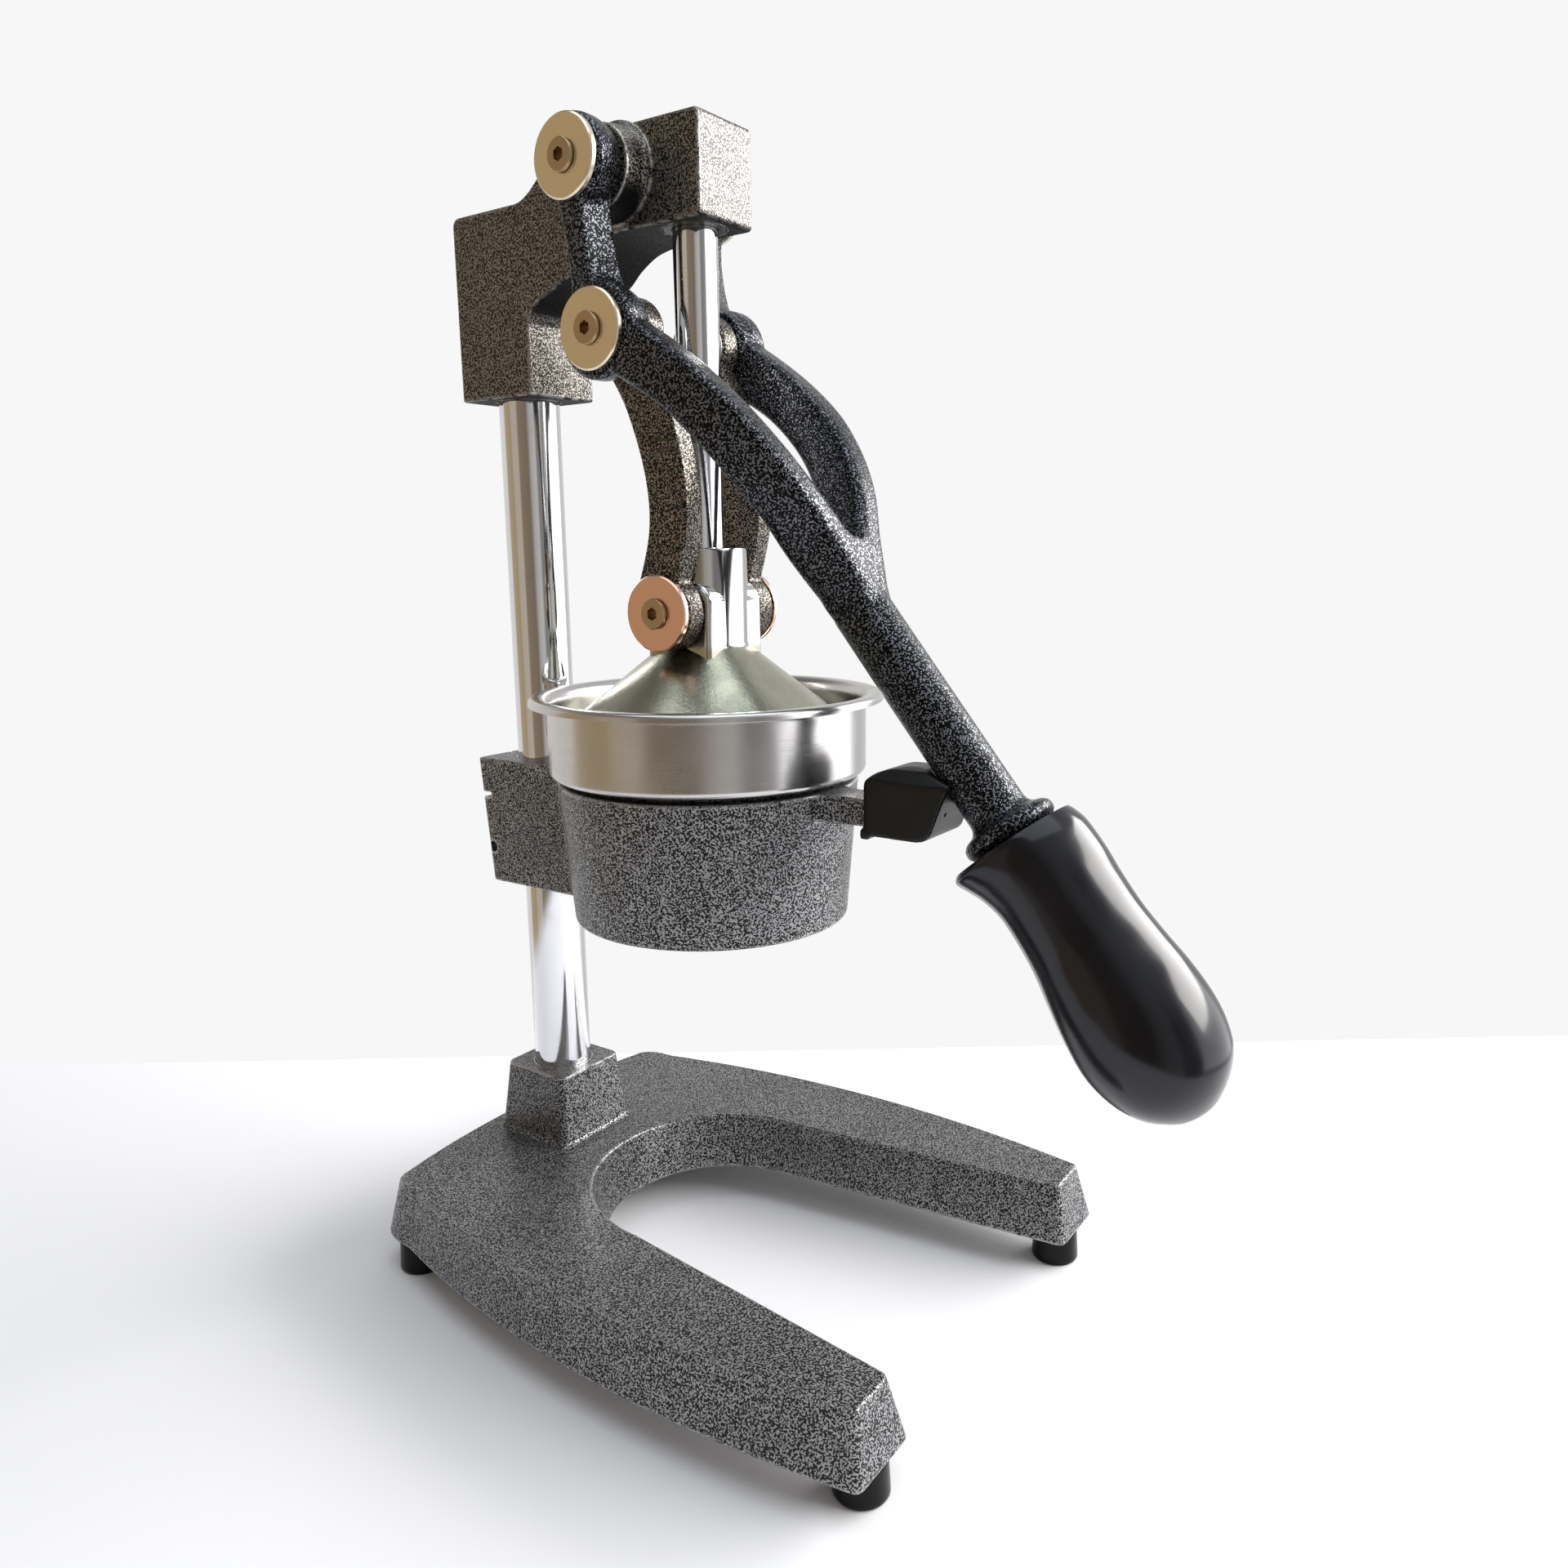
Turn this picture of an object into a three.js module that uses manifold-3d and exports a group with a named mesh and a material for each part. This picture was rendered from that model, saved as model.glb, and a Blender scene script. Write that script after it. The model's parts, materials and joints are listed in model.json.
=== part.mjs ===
// Lever citrus juice press, in millimetres.
// X runs across the press, Y from the front (minus) to the back (plus), and Z up from the table.
// The plunger and the cup share the vertical axis through X = 0, Y = 0 of the sizes below.
// It is a slider-crank: the forked lever turns on the head, and two links carry its push down
// to the press head, which slides on a vertical rod guided by the head.

import * as THREE from 'three';
import { mergeVertices } from 'three/addons/utils/BufferGeometryUtils.js';
import Module from 'manifold-3d';

const wasm = await Module();
wasm.setup();

// Fits and cuts
const clearance = 0.3;
const overrun = 3;
const weldDistance = 0.0005;

// Facets round a full circle, and steps along one curve of an outline
const largeFacets = 36;
const mediumFacets = 24;
const smallFacets = 12;
const hexSides = 6;
const curveSteps = 4;
const cornerSteps = 3;
const undersideSteps = 9;
const strapSteps = 7;
const pointsPerRib = 4;

// Base casting: a flat U with a tapered socket for the post
const footHeight = 12.7;
const baseThickness = 22;
const baseFront = 113.8;
const baseRear = 110.5;
const baseShoulder = 98;
const baseFrontHalfWidth = 84.3;
const baseRearHalfWidth = 75.6;
const baseSideBulge = 22;
const legInnerHalfWidth = 63.5;
const archRadius = 50.3;
const archCentreY = -1.5;
const baseDraft = 4.6;
const baseEdge = 1.4;
const legCornerRadius = 4;
const baseCornerRadius = 9;
const socketTopHalfWidth = 16.6;
const socketBottomHalfWidth = 19.3;
const socketHeight = 28.5;
const socketCornerRadius = 3;
const socketFlare = 1.6;

// Rear post and the bolt that holds it down
const postY = 83.6;
const postRadius = 11.5;
const postEdge = 1;
const postSeatHeight = 14;
const postTopCover = 14;
const postBoltRadius = 4;
const postBoltGrip = 20;
const postBoltHeadRadius = 7.2;
const postBoltHeadHeight = 5.2;
const postWasherRadius = 8.4;
const postWasherThickness = 1.6;

// Feet and their screws
const footRadius = 8.1;
const footFlare = 0.7;
const footEdge = 0.8;
const frontFootX = 73;
const frontFootY = -109.5;
const rearFootX = 70.5;
const rearFootY = 93.5;
const footScrewRadius = 2;
const footScrewHeadRadius = 3.8;
const footScrewHeadHeight = 2.6;
const footScrewRecess = 5.4;
const footScrewGrip = 12;

// Cup holder: a tapered ring, a block that clamps the post, and a stub for the rest pad
const holderTop = 193.3;
const holderHeight = 50.6;
const ringTopRadius = 54.6;
const ringBottomRadius = 50.4;
const ringWall = 6.2;
const ringEdge = 1.6;
const ringSeatChamfer = 2;
const holderHalfWidth = 17.3;
const holderRear = 103.6;
const holderFillet = 18;
const holderCornerRadius = 2.5;
const clampSlit = 2;
const clampScrewRadius = 2;
const clampScrewHeight = 14.3;
const clampScrewInset = 1.4;
const stubHalfWidth = 7;
const stubDepth = 9.6;
const stubReach = 77;

// Rest pad on the stub, cut off parallel to the lever's shank
const padRear = -69.2;
const padFront = -98;
const padRise = 10.5;
const padHeight = 21.8;
const padHalfWidth = 11;
const padShoulder = 5;
const padShoulderRun = 10;
const padEdge = 1.2;
const padCorner = 2.8;

// Cup: pressed steel, with a funnel that passes through the ring
const cupRimRadius = 63.6;
const cupRimRise = 30.9;
const cupRadius = 57.35;
const cupCornerRadius = 4.2;
const cupStepRadius = 47.6;
const cupStepDepth = 7;
const cupWall = 1.2;
const cupCurl = 1.6;
const spoutRadius = 11;
const spoutLength = 15;
const funnelDrop = 20;

// Strainer cone that the fruit is pressed on
const strainerFlangeRadius = 52.6;
const strainerFlangeThickness = 1.6;
const strainerBaseRadius = 39;
const strainerHeight = 37;
const strainerShoulder = 9;
const strainerWall = 4;
const strainerRibCount = 12;
const strainerRibDepth = 1.5;
const slotCount = 12;
const slotInnerRadius = 41;
const slotOuterRadius = 46.6;
const slotWidth = 5;

// Head casting
const headRear = 102.6;
const headBlockFront = 65.2;
const headBlockHeight = 65.5;
const headRampDrop = 16.1;
const headRearHalfWidth = 16.2;
const headFrontHalfWidth = 14.3;
const headFront = -13.7;
const headRise = 219;
const headFrontHeight = 32.4;
const headRampTopY = 48.5;
const headRampFootY = 66;
const headUndersideY = 20;
const headCornerRadius = 3.5;
const headEdge = 1.5;
const headScrewRadius = 3;
const headScrewLength = 8;
const headScrewInset = 16;

// Pivots of the linkage
const headPivotY = 21.4;
const headPivotDrop = 14.5;
const crankLength = 53.6;
const crankRestDegrees = 8.8;
const pressPivotRise = 59.9;
const pinRadius = 6;
const bushWall = 1.6;
const headBossRadius = 15.6;
const headBossEdge = 1.2;

// Slabs of the linkage, as distances from the middle plane
const bossReach = 24.3;
const hubReach = 37.2;
const earReach = 15.5;

// Caps on the pivots and the screws that hold them
const capRadius = 13;
const capThickness = 2.2;
const capEdge = 0.7;
const capScrewHeadRadius = 5.2;
const capScrewHeadHeight = 1;
const capScrewRadius = 2.5;
const capScrewLength = 9;
const hexKeyRadius = 2.3;
const hexKeyDepth = 2.2;

// Forked lever
const topHubRadius = 14;
const topHubWaist = 12.6;
const midHubRadius = 15.6;
const hubEdge = 1.3;
const neckWidth = 12;
const neckFlare = 17;
const armHeight = 19;
const shankRadius = 9.7;
const shankSlopeDegrees = 51.3;
const shankHeadRise = 65.7;
const collarY = -119.1;
const collarDrop = 5.8;
const collarRadius = 15.6;
const collarThickness = 6.5;
const collarEdge = 1.8;
const tangRadius = 7;
const tangLength = 72;

// Grip
const gripLength = 96.8;
const gripRadius = 22.9;

// Links
const linkThickness = 8.5;
const linkWidth = 18.4;
const linkBow = 10.5;
const linkTopEyeRadius = 12.6;
const linkBottomEyeRadius = 12.9;
const linkEdge = 1.2;

// Plunger rod, its guide bushes and the press head
const rodRadius = 7.65;
const rodEdge = 1;
const rodTopGap = 3;
const guideWall = 2.6;
const guideLength = 13;
const sleeveRadius = 15.5;
const sleeveTopRise = 81.7;
const rodSeatRise = 53.7;
const earHalfWidth = 12.8;
const earTopRise = 70.7;
const coneSlopeDegrees = 38.2;
const coneNeckRise = 47.7;
const pressRadius = 50.2;
const pressBottomRise = 14.2;
const pressWall = 4.6;
const cavityTopRadius = 9;
const pressScrewRadius = 2.5;
const pressScrewLength = 5;
const pressScrewRise = 75.7;
const pressPinSeat = 8.6;

// Places that follow from the sizes above. All that works on the cup is set by its height over the
// holder's top, so that it moves with the holder.
const baseTop = footHeight + baseThickness;
const socketTop = baseTop + socketHeight;
const holderBottom = holderTop - holderHeight;
const padTop = holderTop + padRise;
const padBottom = padTop - padHeight;
const cupRimZ = holderTop + cupRimRise;
const headFrontTopZ = holderTop + headRise;
const headFrontBottomZ = headFrontTopZ - headFrontHeight;
const headTopZ = headFrontTopZ - headRampDrop;
const headBottomZ = headTopZ - headBlockHeight;
const headPivotZ = headFrontTopZ - headPivotDrop;
const pressPivotZ = holderTop + pressPivotRise;
const pressBottomZ = holderTop + pressBottomRise;
const pressScrewZ = holderTop + pressScrewRise;
const sleeveTopZ = holderTop + sleeveTopRise;
const rodSeatZ = holderTop + rodSeatRise;
const earTopZ = holderTop + earTopRise;
const coneNeckZ = holderTop + coneNeckRise;
const shankHeadZ = holderTop + shankHeadRise;
const collarZ = holderTop - collarDrop;
const boltHoleRadius = postBoltRadius + clearance;
const postFoot = footHeight + postSeatHeight;
const postTop = headTopZ - postTopCover;
const headPivot = new THREE.Vector2(headPivotY, headPivotZ);
const crankAngle = THREE.MathUtils.degToRad(crankRestDegrees);
const crankArm = new THREE.Vector2(-Math.sin(crankAngle), -Math.cos(crankAngle));
const midPivot = crankArm.clone().multiplyScalar(crankLength).add(headPivot);
const pressPivot = new THREE.Vector2(0, pressPivotZ);
const shankSlope = THREE.MathUtils.degToRad(shankSlopeDegrees);
const shankAxis = new THREE.Vector3(0, -Math.cos(shankSlope), -Math.sin(shankSlope));
const shankUp = new THREE.Vector3(0, -Math.sin(shankSlope), Math.cos(shankSlope));
const collarCentre = new THREE.Vector3(0, collarY, collarZ);
const shankLength = (shankHeadZ - collarZ) / Math.sin(shankSlope);
const linkInner = earReach + clearance;
const hubInner = bossReach + clearance;
const hubMiddle = (hubInner + hubReach) / 2;
const hubWidth = hubReach - hubInner;
const pinHoleRadius = pinRadius + clearance;
const bushRadius = pinHoleRadius + bushWall;
const bushHoleRadius = bushRadius + clearance;
const cupFloorZ = holderTop + clearance + cupWall / 2;
const strainerFloorZ = cupFloorZ + cupWall / 2 + clearance;

// Finishes
const finish = (color, roughness, metalness) => (
  new THREE.MeshStandardMaterial({ color, roughness, metalness }));
const baseEnamel = finish(0x6b6d70, 0.45, 0.35);
const darkEnamel = finish(0x3f4043, 0.35, 0.35);
const chrome = finish(0xd8dbe0, 0.08, 1);
const steel = finish(0xb4b6b9, 0.3, 1);
const aluminium = finish(0xb9bab8, 0.42, 1);
const pinCap = finish(0xb79a78, 0.28, 1);
const bronze = finish(0x9c7a45, 0.4, 1);
const darkSteel = finish(0x4b4c50, 0.4, 1);
const gripPlastic = finish(0x15171b, 0.2, 0);
const rubber = finish(0x17181a, 0.6, 0);

// Solids and meshes

// A closed geometry as a solid. Its faces may be wound either way, so the volume's sign decides.
function toSolid(geometry) {
  const plain = new THREE.BufferGeometry();
  plain.setAttribute('position', geometry.getAttribute('position').clone());
  if (geometry.index) plain.setIndex(geometry.index.clone());
  const merged = mergeVertices(plain, weldDistance);
  const places = merged.getAttribute('position');
  const triangles = [];
  const [a, b, c] = [new THREE.Vector3(), new THREE.Vector3(), new THREE.Vector3()];
  let volume = 0;
  for (let i = 0; i < merged.index.count; i += 3) {
    const corners = [0, 1, 2].map((k) => merged.index.getX(i + k));
    if (new Set(corners).size < 3) continue;
    triangles.push(corners);
    [a, b, c].forEach((corner, k) => corner.fromBufferAttribute(places, corners[k]));
    volume += a.dot(b.cross(c));
  }
  const outward = volume < 0 ? triangles.map(([i, j, k]) => [i, k, j]) : triangles;
  return new wasm.Manifold(new wasm.Mesh({
    numProp: 3,
    vertProperties: Float32Array.from(places.array),
    triVerts: Uint32Array.from(outward.flat()),
  }));
}

function toGeometry(solid) {
  const { vertProperties, triVerts } = solid.getMesh();
  const geometry = new THREE.BufferGeometry();
  geometry.setAttribute('position', new THREE.BufferAttribute(vertProperties.slice(), 3));
  geometry.setIndex([...triVerts]);
  return geometry;
}

const clean = (geometry) => toGeometry(toSolid(geometry));
const join = (...parts) => toGeometry(parts.map(toSolid).reduce((whole, part) => whole.add(part)));
const cut = (body, ...tools) => toGeometry(
  tools.map(toSolid).reduce((rest, tool) => rest.subtract(tool), toSolid(body)));

// Turned pieces: a profile of [radius, height] pairs round the Z axis.
function turned(profile, facets = mediumFacets) {
  const points = profile.map(([radius, height]) => new THREE.Vector2(radius, height));
  return new THREE.LatheGeometry(points, facets).rotateX(Math.PI / 2);
}

// A ring or tube: the profile runs round its section and closes on itself.
const turnedRing = (profile, facets) => turned([...profile, profile[0]], facets);

// A round bar between two heights, with a chamfer at both ends.
function bar(radius, from, to, facets = mediumFacets, edge = 0) {
  const ends = edge > 0
    ? [[radius - edge, from], [radius, from + edge], [radius, to - edge], [radius - edge, to]]
    : [[radius, from], [radius, to]];
  return turned([[0, from], ...ends, [0, to]], facets);
}

// Tube between two heights.
function tube(outer, inner, from, to, facets = mediumFacets) {
  return turnedRing([[inner, from], [outer, from], [outer, to], [inner, to]], facets);
}

// Turns a piece made round Z so that its axis runs along X through a pivot, a Vector2 of (Y, Z).
const acrossAt = (geometry, pivot) => geometry.rotateY(Math.PI / 2).translate(0, pivot.x, pivot.y);

const acrossBar = (radius, from, to, pivot, facets) => acrossAt(bar(radius, from, to, facets), pivot);

// The same piece on the other side of the middle plane.
function mirrored(geometry) {
  return clean(geometry.clone().scale(-1, 1, 1));
}

const bothSides = (geometry) => [geometry, mirrored(geometry)];

// Turns a piece made round Z so that its axis lies along a direction, and moves it to a place.
function aimed(geometry, direction, place) {
  const turn = new THREE.Quaternion().setFromUnitVectors(new THREE.Vector3(0, 0, 1), direction);
  return geometry.applyQuaternion(turn).translate(place.x, place.y, place.z);
}

// Skin over rings of points, all of the same count, closed with caps that follow a flat outline.
function loft(rings, outline) {
  const count = outline.length;
  const index = [];
  for (let level = 0; level < rings.length - 1; level += 1) {
    for (let i = 0; i < count; i += 1) {
      const here = level * count + i;
      const next = level * count + ((i + 1) % count);
      index.push(here, next, next + count, here, next + count, here + count);
    }
  }
  const last = (rings.length - 1) * count;
  for (const [i, j, k] of THREE.ShapeUtils.triangulateShape(outline, [])) {
    index.push(k, j, i, last + i, last + j, last + k);
  }
  const geometry = new THREE.BufferGeometry().setFromPoints(rings.flat());
  geometry.setIndex(index);
  return geometry;
}

// Moves an outline's points outward by one distance, mitred at each corner.
function grown(outline, distance) {
  const side = Math.sign(THREE.ShapeUtils.area(outline));
  const normal = (from, to) => (
    new THREE.Vector2(to.y - from.y, from.x - to.x).setLength(side));
  return outline.map((point, i) => {
    const before = normal(outline.at(i - 1), point);
    const after = normal(point, outline[(i + 1) % outline.length]);
    const mitre = before.clone().add(after).divideScalar(1 + before.dot(after));
    return point.clone().addScaledVector(mitre, distance);
  });
}

// Stack of one plan outline at several heights, each level grown by its own amount.
function stacked(outline, levels) {
  const rings = levels.map(({ z, grow = 0, shape = outline }) => (
    grown(shape, grow).map((point) => new THREE.Vector3(point.x, point.y, z))));
  return loft(rings, outline);
}

// Points of a rectangle with rounded corners, centred on a point.
function roundedRectangle(halfWidth, halfDepth, radius, centreY = 0, steps = cornerSteps) {
  const points = [];
  const signs = [[1, 1], [-1, 1], [-1, -1], [1, -1]];
  signs.forEach(([sx, sy], corner) => {
    for (let step = 0; step <= steps; step += 1) {
      const angle = (corner + step / steps) * (Math.PI / 2);
      points.push(new THREE.Vector2(
        sx * (halfWidth - radius) + radius * Math.cos(angle),
        centreY + sy * (halfDepth - radius) + radius * Math.sin(angle),
      ));
    }
  });
  return points;
}

// Extrudes a side view, drawn as (Y, Z), from one X to another, with bevelled edges.
function sideExtruded(shape, from, to, edge) {
  const geometry = new THREE.ExtrudeGeometry(shape, {
    depth: to - from - 2 * edge,
    curveSegments: curveSteps,
    bevelEnabled: edge > 0,
    bevelThickness: edge,
    bevelSize: edge,
    bevelOffset: -edge,
    bevelSegments: 1,
  });
  const axes = new THREE.Matrix4().makeBasis(
    new THREE.Vector3(0, 1, 0),
    new THREE.Vector3(0, 0, 1),
    new THREE.Vector3(1, 0, 0),
  );
  return geometry.translate(0, 0, from + edge).applyMatrix4(axes);
}

// Points along a path, without the near repeats where one curve meets the next.
function pathPoints(path, steps) {
  const points = path.getPoints(steps);
  return points.filter((point, i) => i === 0 || point.distanceTo(points[i - 1]) > weldDistance);
}

// A polygon with a rounded corner at each [x, y, radius].
function roundedPolygon(corners) {
  const shape = new THREE.Shape();
  corners.forEach(([x, y, radius], i) => {
    const corner = new THREE.Vector2(x, y);
    const before = new THREE.Vector2(...corners.at(i - 1).slice(0, 2));
    const after = new THREE.Vector2(...corners[(i + 1) % corners.length].slice(0, 2));
    const start = before.sub(corner).setLength(radius).add(corner);
    const end = after.sub(corner).setLength(radius).add(corner);
    if (i === 0) shape.moveTo(start.x, start.y);
    else shape.lineTo(start.x, start.y);
    shape.quadraticCurveTo(corner.x, corner.y, end.x, end.y);
  });
  shape.closePath();
  return shape;
}

// Base casting

// Plan of the U, drawn for the right half and mirrored.
function basePlan() {
  const half = new THREE.Path();
  half.absarc(0, archCentreY, archRadius, Math.PI / 2, 0, true);
  half.lineTo(legInnerHalfWidth, legCornerRadius - baseFront);
  half.quadraticCurveTo(legInnerHalfWidth, -baseFront, legInnerHalfWidth + legCornerRadius, -baseFront);
  half.lineTo(baseFrontHalfWidth - legCornerRadius, -baseFront);
  half.quadraticCurveTo(baseFrontHalfWidth, -baseFront, baseFrontHalfWidth, legCornerRadius - baseFront);
  const bulgeX = (baseFrontHalfWidth + baseRearHalfWidth) / 2 + baseSideBulge;
  const bulgeY = (baseShoulder - baseFront) / 2;
  half.quadraticCurveTo(bulgeX, bulgeY, baseRearHalfWidth, baseShoulder - baseCornerRadius);
  half.quadraticCurveTo(baseRearHalfWidth, baseShoulder + (baseRear - baseShoulder) / 2,
    baseRearHalfWidth - baseCornerRadius, (baseShoulder + baseRear) / 2);
  half.quadraticCurveTo(baseRearHalfWidth / 2, baseRear, 0, baseRear);
  const right = pathPoints(half, curveSteps);
  const left = right.slice(1, -1).reverse().map((point) => new THREE.Vector2(-point.x, point.y));
  return [...right, ...left];
}

const footPlaces = {
  front_left: [-frontFootX, frontFootY],
  front_right: [frontFootX, frontFootY],
  rear_left: [-rearFootX, rearFootY],
  rear_right: [rearFootX, rearFootY],
};

function baseCasting() {
  const plate = stacked(basePlan(), [
    { z: footHeight, grow: baseDraft - baseEdge },
    { z: footHeight + baseEdge, grow: baseDraft },
    { z: baseTop - baseEdge, grow: baseDraft * baseEdge / baseThickness },
    { z: baseTop, grow: -baseEdge / 2 },
  ]);
  const socketPlan = roundedRectangle(socketTopHalfWidth, socketTopHalfWidth, socketCornerRadius, postY);
  const socketSpread = socketBottomHalfWidth - socketTopHalfWidth;
  const socket = stacked(socketPlan, [
    { z: baseTop - socketFlare, grow: socketSpread + socketFlare },
    { z: baseTop, grow: socketSpread + socketFlare },
    { z: baseTop + socketFlare, grow: socketSpread },
    { z: socketTop - baseEdge, grow: 0 },
    { z: socketTop, grow: -baseEdge / 2 },
  ]);
  const postBore = bar(postRadius + clearance, postFoot, socketTop + overrun).translate(0, postY, 0);
  const boltHole = bar(boltHoleRadius, footHeight, postFoot + overrun, smallFacets).translate(0, postY, 0);
  const boltSeat = footHeight + postBoltHeadHeight + postWasherThickness;
  const counterbore = bar(postWasherRadius + clearance, footHeight - overrun, boltSeat)
    .translate(0, postY, 0);
  const screwHoleTop = footHeight + footScrewGrip + clearance;
  const screwHoles = Object.values(footPlaces).map(([x, y]) => (
    bar(footScrewRadius + clearance, footHeight - overrun, screwHoleTop, smallFacets)
      .translate(x, y, 0)));
  return cut(join(plate, socket), postBore, boltHole, counterbore, ...screwHoles);
}

// Feet are tapered rubber studs with a recess for the screw head.
function foot() {
  const top = footHeight - clearance;
  return turnedRing([
    [footScrewRadius + clearance, footScrewRecess],
    [footScrewHeadRadius + clearance, footScrewRecess],
    [footScrewHeadRadius + clearance, 0],
    [footRadius + footFlare - footEdge, 0],
    [footRadius + footFlare, footEdge],
    [footRadius, top],
    [footScrewRadius + clearance, top],
  ], smallFacets);
}

function footScrew() {
  const seat = footScrewRecess - clearance;
  return turned([
    [0, seat - footScrewHeadHeight],
    [footScrewHeadRadius, seat - footScrewHeadHeight],
    [footScrewHeadRadius, seat],
    [footScrewRadius, seat],
    [footScrewRadius, footHeight + footScrewGrip],
    [0, footHeight + footScrewGrip],
  ], smallFacets);
}

// Rear post: a plain bar, tapped at its foot for the hold-down bolt.
function rearPost() {
  const foot = postFoot + clearance;
  const body = bar(postRadius, foot, postTop, mediumFacets, postEdge);
  const tappedHole = bar(boltHoleRadius, foot - overrun, foot + postBoltGrip + clearance, smallFacets);
  return cut(body, tappedHole).translate(0, postY, 0);
}

const postBoltSeat = footHeight + postBoltHeadHeight + postWasherThickness - clearance;

function postBolt() {
  const headTop = postBoltSeat - postWasherThickness - clearance;
  const head = bar(postBoltHeadRadius, headTop - postBoltHeadHeight + clearance, headTop, hexSides);
  const shank = bar(postBoltRadius, headTop - clearance, postFoot + postBoltGrip, smallFacets);
  return join(head, shank).translate(0, postY, 0);
}

function postWasher() {
  return tube(postWasherRadius, boltHoleRadius, postBoltSeat - postWasherThickness, postBoltSeat)
    .translate(0, postY, 0);
}

// Cup holder

// Plan of the ring and the clamp block, blended by a concave fillet on each side.
function holderPlan(ringRadius) {
  const reach = ringRadius + holderFillet;
  const filletX = holderHalfWidth + holderFillet;
  const filletY = Math.sqrt(reach ** 2 - filletX ** 2);
  const turn = Math.atan2(filletY, filletX);
  const half = new THREE.Path();
  half.absarc(0, 0, ringRadius, -Math.PI / 2, turn, false);
  half.absarc(filletX, filletY, holderFillet, Math.PI + turn, Math.PI, true);
  half.lineTo(holderHalfWidth, holderRear - holderCornerRadius);
  half.quadraticCurveTo(holderHalfWidth, holderRear, holderHalfWidth - holderCornerRadius, holderRear);
  const right = pathPoints(half, curveSteps + cornerSteps);
  const left = right.slice(1).reverse().map((point) => new THREE.Vector2(-point.x, point.y));
  return [...right, ...left];
}

function cupHolder() {
  const topPlan = holderPlan(ringTopRadius);
  const ringAt = (z) => (
    THREE.MathUtils.mapLinear(z, holderBottom, holderTop, ringBottomRadius, ringTopRadius));
  const level = (z, grow) => ({ z, grow, shape: holderPlan(ringAt(z)) });
  const outside = stacked(topPlan, [
    level(holderBottom, -ringEdge),
    level(holderBottom + ringEdge, 0),
    level(holderTop - ringEdge / 2, 0),
    level(holderTop, -ringEdge / 2),
  ]);
  const stub = new THREE.BoxGeometry(2 * stubHalfWidth, stubReach - ringBottomRadius, stubDepth)
    .translate(0, -(stubReach + ringBottomRadius) / 2, holderTop - stubDepth / 2);
  const inside = turned([
    [0, holderBottom - overrun],
    [ringBottomRadius - ringWall, holderBottom - overrun],
    [ringBottomRadius - ringWall, holderBottom],
    [cupStepRadius + cupWall / 2 + clearance, holderTop - cupStepDepth - cupWall],
    [cupStepRadius + cupWall / 2 + clearance, holderTop - ringSeatChamfer],
    [cupStepRadius + cupWall / 2 + clearance + ringSeatChamfer, holderTop],
    [cupStepRadius + cupWall / 2 + clearance + ringSeatChamfer, holderTop + overrun],
    [0, holderTop + overrun],
  ], largeFacets);
  const postBore = bar(postRadius + clearance, holderBottom - overrun, holderTop + overrun)
    .translate(0, postY, 0);
  const slitLength = holderRear - postY + overrun;
  const slit = new THREE.BoxGeometry(clampSlit, slitLength, holderHeight + 2 * overrun)
    .translate(0, postY + slitLength / 2, holderBottom + holderHeight / 2);
  const screwHole = acrossBar(clampScrewRadius + clearance, -holderHalfWidth - overrun,
    holderHalfWidth + overrun, clampScrewPlace, smallFacets);
  return cut(join(outside, stub), inside, postBore, slit, screwHole);
}

const clampScrewPlace = new THREE.Vector2(
  (postY + postRadius + clearance + holderRear) / 2,
  holderBottom + clampScrewHeight,
);

function clampScrew() {
  const reach = holderHalfWidth - clampScrewInset;
  return acrossBar(clampScrewRadius, -reach, reach, clampScrewPlace, smallFacets);
}

// Rest pad: pushed over the stub, with its nose cut parallel to the shank of the lever at rest.
function restPad() {
  const lineGap = shankRadius + clearance;
  const onLineAtY = (y) => collarZ + (-lineGap - (y - collarY) * shankUp.y) / shankUp.z;
  const onLineAtZ = (z) => collarY + (-lineGap - (z - collarZ) * shankUp.z) / shankUp.y;
  const noseTop = onLineAtZ(padTop);
  const noseFoot = onLineAtY(padFront);
  const side = roundedPolygon([
    [padRear, padBottom, padCorner],
    [padRear, padTop - padShoulder, padCorner],
    [padRear - padShoulderRun, padTop, padCorner],
    [noseTop, padTop, padCorner],
    [padFront, noseFoot, padCorner],
    [padFront, padBottom, padCorner],
  ]);
  const body = sideExtruded(side, -padHalfWidth, padHalfWidth, padEdge);
  const depth = stubDepth + 2 * clearance;
  const pocketLength = padRear + stubReach + clearance + overrun;
  const pocket = new THREE.BoxGeometry(2 * (stubHalfWidth + clearance), pocketLength, depth)
    .translate(0, padRear + overrun - pocketLength / 2, holderTop - stubDepth / 2);
  return cut(body, pocket);
}

// Cup and strainer

// Section of pressed sheet: a line of points thickened to both sides.
function sheetSection(line, thickness) {
  const points = line.map(([radius, height]) => new THREE.Vector2(radius, height));
  const sides = points.map((point, i) => {
    const before = points[Math.max(i - 1, 0)];
    const after = points[Math.min(i + 1, points.length - 1)];
    const along = after.clone().sub(before).normalize();
    return new THREE.Vector2(along.y, -along.x).multiplyScalar(thickness / 2);
  });
  const outer = points.map((point, i) => point.clone().add(sides[i]));
  const inner = points.map((point, i) => point.clone().sub(sides[i])).reverse();
  return [...outer, ...inner].map((point) => [point.x, point.y]);
}

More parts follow.
